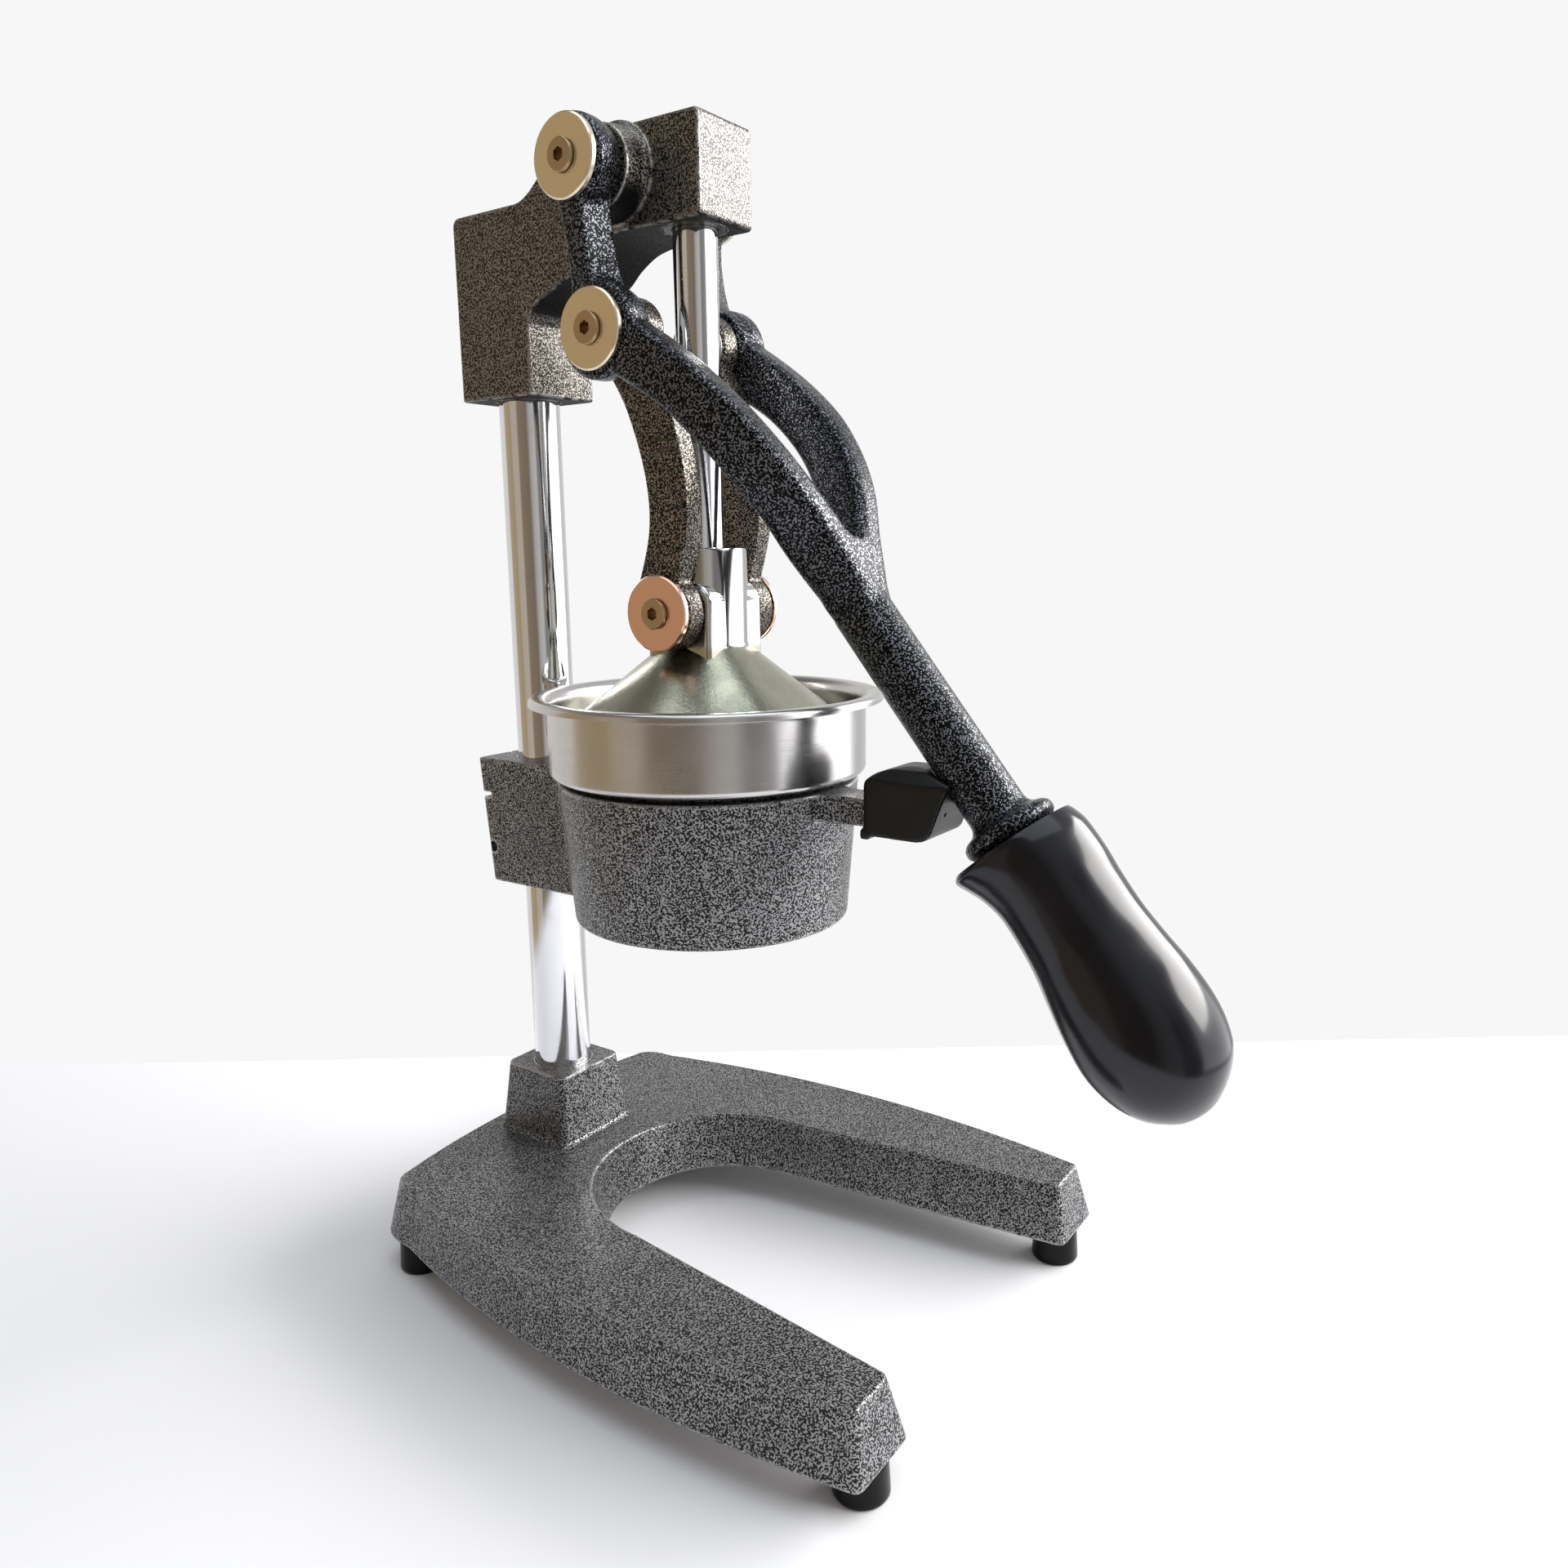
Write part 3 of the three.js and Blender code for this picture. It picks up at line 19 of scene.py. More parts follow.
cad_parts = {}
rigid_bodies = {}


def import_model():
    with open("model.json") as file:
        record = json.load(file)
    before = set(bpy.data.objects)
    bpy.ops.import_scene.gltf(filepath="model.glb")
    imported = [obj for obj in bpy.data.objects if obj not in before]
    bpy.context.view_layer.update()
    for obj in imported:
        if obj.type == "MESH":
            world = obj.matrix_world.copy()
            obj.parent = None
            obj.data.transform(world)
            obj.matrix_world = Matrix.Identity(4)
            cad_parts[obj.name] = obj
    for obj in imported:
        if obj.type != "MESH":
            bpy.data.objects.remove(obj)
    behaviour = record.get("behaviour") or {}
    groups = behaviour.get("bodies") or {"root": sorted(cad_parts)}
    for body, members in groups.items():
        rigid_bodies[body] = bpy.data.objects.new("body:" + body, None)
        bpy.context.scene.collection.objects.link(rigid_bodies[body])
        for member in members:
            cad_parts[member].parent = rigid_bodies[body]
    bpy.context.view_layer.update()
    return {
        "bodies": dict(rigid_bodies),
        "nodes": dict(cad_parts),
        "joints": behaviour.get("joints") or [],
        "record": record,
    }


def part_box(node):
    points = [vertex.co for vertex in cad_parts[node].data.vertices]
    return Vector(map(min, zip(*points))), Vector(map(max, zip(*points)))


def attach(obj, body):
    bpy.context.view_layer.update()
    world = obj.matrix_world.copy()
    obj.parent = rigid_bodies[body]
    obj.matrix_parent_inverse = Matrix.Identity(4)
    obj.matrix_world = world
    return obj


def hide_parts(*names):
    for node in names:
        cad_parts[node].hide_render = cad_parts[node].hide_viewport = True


LOG = logging.getLogger("juice_press")
METRE = 0.001
# Points nearer than this become one, in millimetres.
WELD = 1e-3
# How far a cutting tool reaches past the face that it cuts, in millimetres.
PAST = 3.0

Pair = tuple[float, float]
Triple = tuple[float, float, float]
Rows = tuple[tuple[float, ...], ...]
Colour = tuple[float, float, float, float]


def shade(red: float, green: float, blue: float) -> Colour:
    """Turn display values into a linear colour.

    Args:
        red: Red, from 0 to 255.
        green: Green, from 0 to 255.
        blue: Blue, from 0 to 255.

    Returns:
        The linear colour.
    """
    def linear(value: float) -> float:
        """Return one linear channel."""
        part = value / 255
        return part / 12.92 if part <= 0.04045 else ((part + 0.055) / 1.055) ** 2.4

    return linear(red), linear(green), linear(blue), 1.0


def toned(colour: Colour, share: float, lift: float = 0) -> Colour:
    """Return a colour multiplied by a share and raised by a lift."""
    return tuple(value * share + lift for value in colour[:3]) + (1.0,)


def around(items: Sequence[Any], index: int) -> list[Any]:
    """Return the item before an index, the one there and two after, held to the ends."""
    return [items[min(max(index + step, 0), len(items) - 1)] for step in (-1, 0, 1, 2)]


def between(four: Sequence[Any], share: float) -> Any:
    """Find a place on the smooth curve through four values.

    Args:
        four: Numbers or vectors in order.
        share: How far the place is from the second value to the third.

    Returns:
        The value there.
    """
    before, here, there, after = four
    return 0.5 * (2 * here + (there - before) * share
                  + (2 * before - 5 * here + 4 * there - after) * share ** 2
                  + (3 * here - before - 3 * there + after) * share ** 3)


class Side(Enum):
    """Side of the middle plane, with the sign of X there."""

    RIGHT = 1
    LEFT = -1

    @property
    def word(self) -> str:
        """Return the word that node names use for this side."""
        return self.name.lower()


class Outline:
    """Flat outline that grows point by point from lines, arcs and bends."""

    def __init__(self, x: float, y: float) -> None:
        """Start at a point."""
        self.points: list[Pair] = [(x, y)]

    def line(self, x: float, y: float) -> "Outline":
        """Run straight to a point, unless the outline stands there already.

        Args:
            x: Its place across.
            y: Its place upwards.

        Returns:
            This outline.
        """
        if math.dist(self.points[-1], (x, y)) > WELD:
            self.points.append((x, y))
        return self

    def arc(self, centre: Pair, radius: float, start: float, end: float,
            steps: int = 24) -> "Outline":
        """Run round a circle's arc.

        Args:
            centre: Middle of the circle.
            radius: Its radius.
            start: Angle at the start, in radians.
            end: Angle at the end, in radians.
            steps: Number of chords.

        Returns:
            This outline.
        """
        for step in range(steps + 1):
            angle = start + (end - start) * step / steps
            self.line(centre[0] + radius * math.cos(angle), centre[1] + radius * math.sin(angle))
        return self

    def bend(self, control: Pair, end: Pair, steps: int = 10) -> "Outline":
        """Run along a quadratic curve.

        Args:
            control: Point that the curve leans to.
            end: Where it ends.
            steps: Number of chords.

        Returns:
            This outline.
        """
        start = Vector(self.points[-1])
        for step in range(1, steps + 1):
            share = step / steps
            first = start.lerp(Vector(control), share)
            second = Vector(control).lerp(Vector(end), share)
            self.line(*first.lerp(second, share))
        return self

    def spline(self, points: Sequence[Pair], steps: int = 8) -> "Outline":
        """Run smoothly through points, the first of which is where the outline stands.

        Args:
            points: Places to pass.
            steps: Number of chords between two of them.

        Returns:
            This outline.
        """
        places = [Vector(point) for point in points]
        for index in range(len(places) - 1):
            for step in range(1, steps + 1):
                self.line(*between(around(places, index), step / steps))
        return self

    def mirrored(self) -> list[Pair]:
        """Return the closed outline of this half and its mirror image across X = 0."""
        inner = [point for point in self.points if abs(point[0]) > WELD]
        return self.points + [(-x, y) for x, y in reversed(inner)]


@dataclass(frozen=True)
class Station:
    """One section of a swept bar.

    Attributes:
        place: Middle of the section.
        up: Direction of its height, at right angles to the bar.
        half_width: Half its size along X.
        half_height: Half its size along up.
        squareness: 1 is an ellipse, and more is nearer a rectangle.
    """

    place: Vector
    up: Vector
    half_width: float
    half_height: float
    squareness: float


class Shape:
    """Mesh under construction in millimetres, shaped with bmesh operators."""

    def __init__(self) -> None:
        """Start with an empty mesh."""
        self.bm = bmesh.new()

    @classmethod
    def of_mesh(cls, mesh: bpy.types.Mesh) -> "Shape":
        """Copy a mesh.

        Args:
            mesh: Mesh data, which stays as it is.

        Returns:
            A shape of the same form.
        """
        shape = cls()
        shape.bm.from_mesh(mesh)
        return shape

    @classmethod
    def turned(cls, profile: Sequence[Pair], closed: bool = False, segments: int = 96) -> "Shape":
        """Spin a profile round the Z axis.

        Args:
            profile: Pairs of radius and height.
            closed: Whether it runs back to its first point, as on a ring.
            segments: Facets round the full turn.

        Returns:
            The turned shape.
        """
        shape = cls()
        verts = [shape.bm.verts.new((radius, 0, height)) for radius, height in profile]
        pairs = list(zip(verts, verts[1:]))
        if closed:
            pairs.append((verts[-1], verts[0]))
        edges = [shape.bm.edges.new(pair) for pair in pairs]
        bmesh.ops.spin(shape.bm, geom=verts + edges, cent=(0, 0, 0), axis=(0, 0, 1),
                       angle=math.tau, steps=segments, use_merge=True)
        return shape.tidied()

    @classmethod
    def bar(cls, radius: float, low: float, high: float, edge: float = 0,
            segments: int = 96) -> "Shape":
        """Turn a round bar.

        Args:
            radius: Its radius.
            low: Height of its lower end.
            high: Height of its upper end.
            edge: Chamfer at both ends.
            segments: Facets round the full turn.

        Returns:
            The bar.
        """
        ends = [(radius - edge, low), (radius, low + edge), (radius, high - edge),
                (radius - edge, high)] if edge else [(radius, low), (radius, high)]
        return cls.turned([(0, low), *ends, (0, high)], segments=segments)

    @classmethod
    def block(cls, low: Sequence[float], high: Sequence[float]) -> "Shape":
        """Make a box.

        Args:
            low: Its lowest corner.
            high: Its highest corner.

        Returns:
            The box.
        """
        shape = cls()
        low_corner, high_corner = Vector(low), Vector(high)
        size = high_corner - low_corner
        place = Matrix.Translation((low_corner + high_corner) / 2) @ Matrix.Diagonal((*size, 1))
        bmesh.ops.create_cube(shape.bm, size=1, matrix=place)
        return shape

    @classmethod
    def prism(cls, outline: Sequence[Pair], low: float, high: float) -> "Shape":
        """Raise a flat outline from a lower height to an upper one."""
        return cls.stacked([(outline, low), (outline, high)])

    @classmethod
    def stacked(cls, levels: Sequence[tuple[Sequence[Pair], float]]) -> "Shape":
        """Loft flat outlines, each given with its height."""
        return cls.loft([[Vector((x, y, height)) for x, y in plan] for plan, height in levels])

    @classmethod
    def loft(cls, loops: Sequence[Sequence[Vector]]) -> "Shape":
        """Bridge closed loops of points in order and close both ends.

        Args:
            loops: Loops with the same count of points.

        Returns:
            The lofted shape.
        """
        shape = cls()
        rings = []
        for loop in loops:
            verts = [shape.bm.verts.new(point) for point in loop]
            pairs = zip(verts, verts[1:] + verts[:1])
            rings.append([shape.bm.edges.new(pair) for pair in pairs])
        return shape.skinned(rings)

    @classmethod
    def swept(cls, stations: Sequence[Station], segments: int = 40) -> "Shape":
        """Sweep a rounded section along stations.

        Args:
            stations: Sections in order.
            segments: Points round each.

        Returns:
            The swept shape.
        """
        shape = cls()
        rings = []
        for station in stations:
            verts, ring = shape.ring(segments)
            power = 1 / station.squareness
            for vert in verts:
                across, height = (math.copysign(abs(value) ** power, value)
                                  for value in vert.co.xy)
                vert.co = (station.place + Vector((across * station.half_width, 0, 0))
                           + station.up * height * station.half_height)
            rings.append(ring)
        return shape.skinned(rings)

    def ring(self, count: int, radius: float = 1) -> tuple[list[Any], list[Any]]:
        """Add a level circle round the origin.

        Args:
            count: Number of its points.
            radius: Its radius.

        Returns:
            Its points and its edges.
        """
        known = set(self.bm.edges)
        made = bmesh.ops.create_circle(self.bm, segments=count, radius=radius)
        return made["verts"], [edge for edge in self.bm.edges if edge not in known]

    def skinned(self, rings: Sequence[list[Any]]) -> "Shape":
        """Bridge rings of edges in order and close both ends.

        Args:
            rings: Closed rings with the same count of edges.

        Returns:
            This shape, tidied.
        """
        for lower, upper in zip(rings, rings[1:]):
            bmesh.ops.bridge_loops(self.bm, edges=lower + upper)
        for ring in (rings[0], rings[-1]):
            bmesh.ops.contextual_create(self.bm, geom=ring)
        return self.tidied()

    def tidied(self) -> "Shape":
        """Merge doubled points and turn every face outwards.

        Returns:
            This shape.
        """
        bmesh.ops.remove_doubles(self.bm, verts=self.bm.verts, dist=WELD)
        bmesh.ops.recalc_face_normals(self.bm, faces=self.bm.faces)
        return self

    def copy(self) -> "Shape":
        """Copy the shape.

        Returns:
            A second shape of the same form.
        """
        twin = Shape()
        twin.bm.free()
        twin.bm = self.bm.copy()
        return twin

    def placed(self, matrix: Matrix) -> "Shape":
        """Apply a matrix to every point."""
        bmesh.ops.transform(self.bm, matrix=matrix, verts=self.bm.verts)
        return self

    def moved(self, x: float = 0, y: float = 0, z: float = 0) -> "Shape":
        """Move every point."""
        bmesh.ops.translate(self.bm, vec=(x, y, z), verts=self.bm.verts)
        return self

    def sideways(self) -> "Shape":
        """Turn a shape drawn as (Y, Z) in its plan so that its height runs along X."""
        return self.placed(Matrix(((0, 0, 1, 0), (1, 0, 0, 0), (0, 1, 0, 0), (0, 0, 0, 1))))

    def forwards(self) -> "Shape":
        """Turn a shape drawn as (X, Z) in its plan so that its height runs towards the front."""
        return self.placed(Matrix.Rotation(math.pi / 2, 4, "X"))

    def across(self, pivot: Pair) -> "Shape":
        """Lay a shape turned round Z along X through a pivot at (Y, Z)."""
        self.placed(Matrix.Rotation(math.pi / 2, 4, "Y"))
        return self.moved(0, *pivot)

    def aimed(self, direction: Vector, place: Vector) -> "Shape":
        """Lay a shape turned round Z along a direction through a place."""
        turn = Vector((0, 0, 1)).rotation_difference(direction).to_matrix().to_4x4()
        return self.placed(Matrix.Translation(place) @ turn)

    def on(self, side: Side) -> "Shape":
        """Copy this right-hand shape to a side.

        Args:
            side: Side that the copy stands on.

        Returns:
            The copy.
        """
        twin = self.copy()
        if side is Side.LEFT:
            bmesh.ops.scale(twin.bm, vec=(-1, 1, 1), verts=twin.bm.verts)
            bmesh.ops.reverse_faces(twin.bm, faces=twin.bm.faces)
        return twin

    def with_mirror(self) -> "Shape":
        """Add the mirror image of the shape across X = 0."""
        return self.joined(self.on(Side.LEFT))

    def joined(self, *others: "Shape") -> "Shape":
        """Add other shapes to this one as they are.

        Args:
            others: Shapes to add.

        Returns:
            This shape.
        """
        for other in others:
            mesh = other.mesh("joined")
            self.bm.from_mesh(mesh)
            bpy.data.meshes.remove(mesh)
        return self

    def bevelled(self, width: float, segments: int = 3, angle: float = 35) -> "Shape":
        """Round the edges that turn by more than an angle.

        Args:
            width: Distance from the edge at which the rounding starts.
            segments: Faces across it.
            angle: Smallest turn, in degrees, of an edge that is rounded.

        Returns:
            This shape.
        """
        limit = math.radians(angle)
        edges = [edge for edge in self.bm.edges if edge.calc_face_angle(0) > limit]
        bmesh.ops.bevel(self.bm, geom=edges, offset=width, offset_type="OFFSET",
                        affect="EDGES", segments=segments, profile=0.5, material=-1,
                        clamp_overlap=True)
        return self

    def smoothed(self, passes: int) -> "Shape":
        """Soften every corner by repeated smoothing.

        Args:
            passes: Rounds of smoothing.

        Returns:
            This shape.
        """
        for _ in range(passes):
            bmesh.ops.smooth_vert(self.bm, verts=self.bm.verts, factor=0.5,
                                  use_axis_x=True, use_axis_y=True, use_axis_z=True)
        return self

    def mesh(self, name: str) -> bpy.types.Mesh:
        """Write the shape to mesh data.

        Args:
            name: Name of the mesh.

        Returns:
            The mesh.
        """
        mesh = bpy.data.meshes.new(name)
        self.bm.to_mesh(mesh)
        return mesh


class Merge(Enum):
    """What a boolean keeps of a body and a tool, with the modifier's word for it."""

    CUT = "DIFFERENCE"
    UNITED = "UNION"
    COMMON = "INTERSECT"


class Moulder:
    """Runs Blender's modifiers on shapes and hands back new shapes."""

    @staticmethod
    def _object(shape: Shape, name: str) -> bpy.types.Object:
        """Put a shape in the scene for a modifier to work on.

        Args:
            shape: Shape to put there.
            name: Name of the object and its mesh.

        Returns:
            The object.
        """
        piece = bpy.data.objects.new(name, shape.mesh(name))
        bpy.context.scene.collection.objects.link(piece)
        return piece

    @staticmethod
    def _taken(piece: bpy.types.Object, *helpers: bpy.types.Object) -> Shape:
        """Take the form that an object's modifiers give, and clear the objects away.

        Args:
            piece: Object with modifiers.
            helpers: Objects that its modifiers use.

        Returns:
            The form.
        """
        graph = bpy.context.evaluated_depsgraph_get()
        mesh = bpy.data.meshes.new_from_object(piece.evaluated_get(graph))
        shape = Shape.of_mesh(mesh)
        bpy.data.meshes.remove(mesh)
        for spent in (piece, *helpers):
            data = spent.data
            bpy.data.objects.remove(spent)
            bpy.data.meshes.remove(data)
        return shape

    def merged(self, merge: Merge, body: Shape, *tools: Shape) -> Shape:
        """Run one boolean operation of a body with each tool.

        Args:
            merge: What is kept.
            body: Closed shape to work on.
            tools: Closed shapes to work with.

        Returns:
            The result.
        """
        piece = self._object(body, "body")
        helpers = [self._object(tool, "tool") for tool in tools]
        for helper in helpers:
            step = piece.modifiers.new("tool", "BOOLEAN")
            step.operation = merge.value
            step.object = helper
            step.solver = "MANIFOLD"
        return self._taken(piece, *helpers)

    def cut(self, body: Shape, *tools: Shape) -> Shape:
        """Return a body with tools cut away."""
        return self.merged(Merge.CUT, body, *tools)

    def united(self, body: Shape, *tools: Shape) -> Shape:
        """Return a body with tools added."""
        return self.merged(Merge.UNITED, body, *tools)

    def common(self, body: Shape, *tools: Shape) -> Shape:
        """Return what a body shares with every tool."""
        return self.merged(Merge.COMMON, body, *tools)

    def cast(self, shells: Sequence[Shape], voxel: float, passes: int) -> Shape:
        """Melt overlapping shells into one casting with soft corners.

        Args:
            shells: Closed shapes that overlap.
            voxel: Size of the remeshing grid.
            passes: Rounds of smoothing.

        Returns:
            The casting.
        """
        piece = self._object(Shape().joined(*shells), "casting")
        grid = piece.modifiers.new("grid", "REMESH")
        grid.mode = "VOXEL"
        grid.voxel_size = voxel
        grid.adaptivity = 0
        return self._taken(piece).smoothed(passes)


class Wire:
    """Node socket that Python's operators turn into Math nodes."""

    def __init__(self, graph: "Graph", socket: bpy.types.NodeSocket) -> None:
        """Wrap a socket of a graph."""
        self.graph = graph
        self.socket = socket

    def _math(self, operation: str, *values: Any) -> "Wire":
        """Add a Math node on values."""
        return self.graph.node("ShaderNodeMath", {"operation": operation}, dict(enumerate(values)))

    def __add__(self, other: Any) -> "Wire":
        """Return the sum."""
        return self._math("ADD", self, other)

    def __sub__(self, other: Any) -> "Wire":
        """Return the difference."""
        return self._math("SUBTRACT", self, other)

    def __rsub__(self, other: Any) -> "Wire":
        """Return the difference from the other."""
        return self._math("SUBTRACT", other, self)

    def __mul__(self, other: Any) -> "Wire":
        """Return the product."""
        return self._math("MULTIPLY", self, other)

    def __truediv__(self, other: Any) -> "Wire":
        """Return the quotient."""
        return self._math("DIVIDE", self, other)

    def __pow__(self, other: Any) -> "Wire":
        """Return the power."""
        return self._math("POWER", self, other)

    __radd__ = __add__
    __rmul__ = __mul__

    def turn_of(self, other: "Wire") -> "Wire":
        """Return the angle of the point whose height is this and whose run is the other."""
        return self._math("ARCTAN2", self, other)

    def ramped(self, start: float, end: float) -> "Wire":
        """Rise smoothly from 0 to 1, and stay level outside.

        Args:
            start: Value that gives 0.
            end: Value that gives 1.

        Returns:
            The share.
        """
        settings = {"interpolation_type": "SMOOTHSTEP"}
        values = {"Value": self, "From Min": start, "From Max": end}
        return self.graph.node("ShaderNodeMapRange", settings, values, "Result")


class Graph:
    """Node tree of a material or world, filled node by node."""

    def __init__(self, tree: bpy.types.NodeTree) -> None:
        """Empty the tree."""
        self.tree = tree
        tree.nodes.clear()

    def node(self, kind: str, settings: dict[str, Any] | None = None,
             values: dict[Any, Any] | None = None, output: str | int = 0) -> Wire:
        """Add a node.

        Args:
            kind: Type of the node.
            settings: Properties, which are set first.
            values: Numbers, colours or wires of its input sockets, by name or position.
            output: Output that is handed back.

        Returns:
            The output as a wire.
        """
        made = self.tree.nodes.new(kind)
        for name, value in (settings or {}).items():
            if name == "stops":
                self._fill(made.color_ramp, value)
            else:
                setattr(made, name, value)
        for name, value in (values or {}).items():
            if isinstance(value, Wire):
                self.tree.links.new(value.socket, made.inputs[name])
            else:
                made.inputs[name].default_value = value
        return Wire(self, made.outputs[output] if len(made.outputs) else None)

    @staticmethod
    def _fill(ramp: bpy.types.ColorRamp, stops: Sequence[tuple[float, Colour]]) -> None:
        """Give a colour ramp its stops.

        Args:
            ramp: Ramp to fill.
            stops: Positions in order, each with its colour.
        """
        while len(ramp.elements) < len(stops):
            ramp.elements.new(0.5)
        for element, (position, colour) in zip(ramp.elements, stops):
            element.position = position
            element.color = colour

    def split(self, where: Wire) -> list[Wire]:
        """Return the X, Y and Z of a vector."""
        first = self.node("ShaderNodeSeparateXYZ", None, {"Vector": where})
        return [Wire(self, socket) for socket in first.socket.node.outputs]

    def dot(self, first: Any, second: Any) -> Wire:
        """Return the dot product of two vectors."""
        return self.node("ShaderNodeVectorMath", {"operation": "DOT_PRODUCT"},
                         {0: first, 1: second}, "Value")

    def mix(self, share: Any, first: Any, second: Any) -> Wire:
        """Mix two colours.

        Args:
            share: How much of the second colour.
            first: Colour or wire at a share of 0.
            second: Colour or wire at a share of 1.

        Returns:
            The mixed colour.
        """
        settings = {"data_type": "RGBA"}
        return self.node("ShaderNodeMix", settings, {0: share, 6: first, 7: second}, 2)

    def place(self, centre: Sequence[float] = (0, 0, 0), scale: Sequence[float] = (1, 1, 1),
              turn: Sequence[float] = (0, 0, 0)) -> Wire:
        """Read the piece's own coordinates.

        Args:
            centre: Place, in metres, that becomes the origin.
            scale: Stretch along each axis.
            turn: Turn about each axis, in radians.

        Returns:
            The mapped coordinates.
        """
        where = self.node("ShaderNodeTexCoord", output="Object")
        moved = self.node("ShaderNodeVectorMath", {"operation": "SUBTRACT"},
                          {0: where, 1: tuple(centre)})
        values = {"Vector": moved, "Rotation": tuple(turn), "Scale": tuple(scale)}
        return self.node("ShaderNodeMapping", {"vector_type": "POINT"}, values)

    def noise(self, where: Wire, scale: float, detail: float = 2, roughness: float = 0.5) -> Wire:
        """Return fractal noise between 0 and 1.

        Args:
            where: Coordinates.
            scale: Waves per metre.
            detail: Number of finer layers.
            roughness: Weight of the finer layers.

        Returns:
            The noise.
        """
        values = {"Vector": where, "Scale": scale, "Detail": detail, "Roughness": roughness}
        return self.node("ShaderNodeTexNoise", None, values, "Fac")

    def bump(self, height: Wire, depth: float) -> Wire:
        """Return the normal of a relief, from its height between 0 and 1 and its depth."""
        return self.node("ShaderNodeBump", None, {"Height": height, "Distance": depth},
                         "Normal")

    def surface(self, values: dict[str, Any]) -> None:
        """Close the graph with a principled surface of these values."""
        skin = self.node("ShaderNodeBsdfPrincipled", None, values)
        self.node("ShaderNodeOutputMaterial", None, {"Surface": skin})


@dataclass(frozen=True)
class Finish:
    """Base of the finishes: a name, and a method that lays the surface out."""

    name: str

    def lay(self, graph: Graph) -> None:
        """Build the surface's nodes.

        Args:
            graph: Node tree to build them in.
        """
        raise NotImplementedError

    def material(self) -> bpy.types.Material:
        """Make the material, once for each name.

        Returns:
            The material.
        """
        known = bpy.data.materials.get(self.name)
        if known:
            return known
        made = bpy.data.materials.new(self.name)
        made.use_nodes = True
        self.lay(Graph(made.node_tree))
        return made


@dataclass(frozen=True)
class HammeredEnamel(Finish):
    """Stoved enamel that has drawn up into a light network round dark pores.

    Attributes:
        light: Level of the noise at which a pore begins, so more of it is a lighter coat.
        blur: Half the width of a pore's border, as a level of the noise.
        edge: Width of the worn edge, which also carries a painted highlight, in metres.
        thin: How dark the painted shade on undersides is.
    """

    ridge: Colour
    pore: Colour
    # Light colour of the edges: partly wear, partly a painted highlight.
    worn: Colour = shade(226, 224, 220)
    grain: float = 0.0006
    light: float = 0.485
    blur: float = 0.02
    relief: float = 0.0004
    roughness: float = 0.28
    metallic: float = 0.55
    coat: float = 0.15
    wear: float = 1.0
    edge: float = 0.0015
    thin: float = 0.0
    tilt: Triple = (0.5, 0.7, 0.3)
    clouds: float = 22.0
    rubs: float = 300.0

    def lay(self, graph: Graph) -> None:
        """Build worm-like pores from even noise, wear with a painted highlight along the edges,
        and painted shade on undersides.

        Args:
            graph: Node tree to build them in.
        """
        where = graph.place(turn=self.tilt)
        worms = graph.noise(where, 1 / self.grain, 0.5, 0.4)
        fine = graph.noise(where, 2.4 / self.grain, 1, 0.6)
        cloud = graph.noise(where, self.clouds, 3).ramped(0.3, 0.7)
        level = worms + (fine - 0.5) * 0.2
        pore = level.ramped(self.light - self.blur, self.light + self.blur)
        mottle = graph.mix(cloud * 0.35 + fine * 0.3, self.ridge, toned(self.ridge, 0.55))
        colour = graph.mix(pore, mottle, self.pore)
        soft = graph.node("ShaderNodeBevel", {"samples": 4}, {"Radius": self.edge})
        true = graph.node("ShaderNodeNewGeometry", output="Normal")
        # Painted shade: surfaces that face down turn to the pore colour and lose their gloss.
        under = graph.dot(true, (0, 0, -1)).ramped(0.25, 0.6) * self.thin
        colour = graph.mix(under, colour, self.pore)
        turned = 1 - graph.dot(soft, true)
        broken = graph.noise(where, self.rubs, 3).ramped(0.36, 0.56)
        # Edges turn light and metallic: partly wear, partly a painted highlight along every edge.
        wear_and_highlight = turned.ramped(0.02, 0.1) * broken * self.wear
        graph.surface({
            "Base Color": graph.mix(wear_and_highlight, colour, self.worn),
            "Metallic": wear_and_highlight * 0.4 + self.metallic,
            "Roughness": pore * 0.14 + fine * 0.1 + under * 0.3 + (self.roughness - 0.06),
            "Coat Weight": (1 - under) * self.coat,
            "Coat Roughness": 0.16,
            "Normal": graph.bump((1 - pore) + fine * 0.25, self.relief),
        })


@dataclass(frozen=True)
class BrightBar(Finish):
    """Polished bar with faint draw lines along its length and a few fine hazes."""

    colour: Colour
    roughness: float = 0.06
    lines: float = 2600.0
    stretch: float = 0.004
    hazes: float = 60.0
    depth: float = 0.000004

    def lay(self, graph: Graph) -> None:
        """Build draw lines along Z and a light haze.

        Args:
            graph: Node tree to build them in.
        """
        lines = graph.noise(graph.place(scale=(1, 1, self.stretch)), self.lines, 2)
        haze = graph.noise(graph.place(), self.hazes, 4).ramped(0.45, 0.8)
        graph.surface({
            "Base Color": graph.mix(haze * 0.5, self.colour, toned(self.colour, 0.9)),
            "Metallic": 1.0,
            "Roughness": haze * 0.08 + lines * 0.04 + (self.roughness - 0.02),
            "Normal": graph.bump(lines, self.depth),
        })


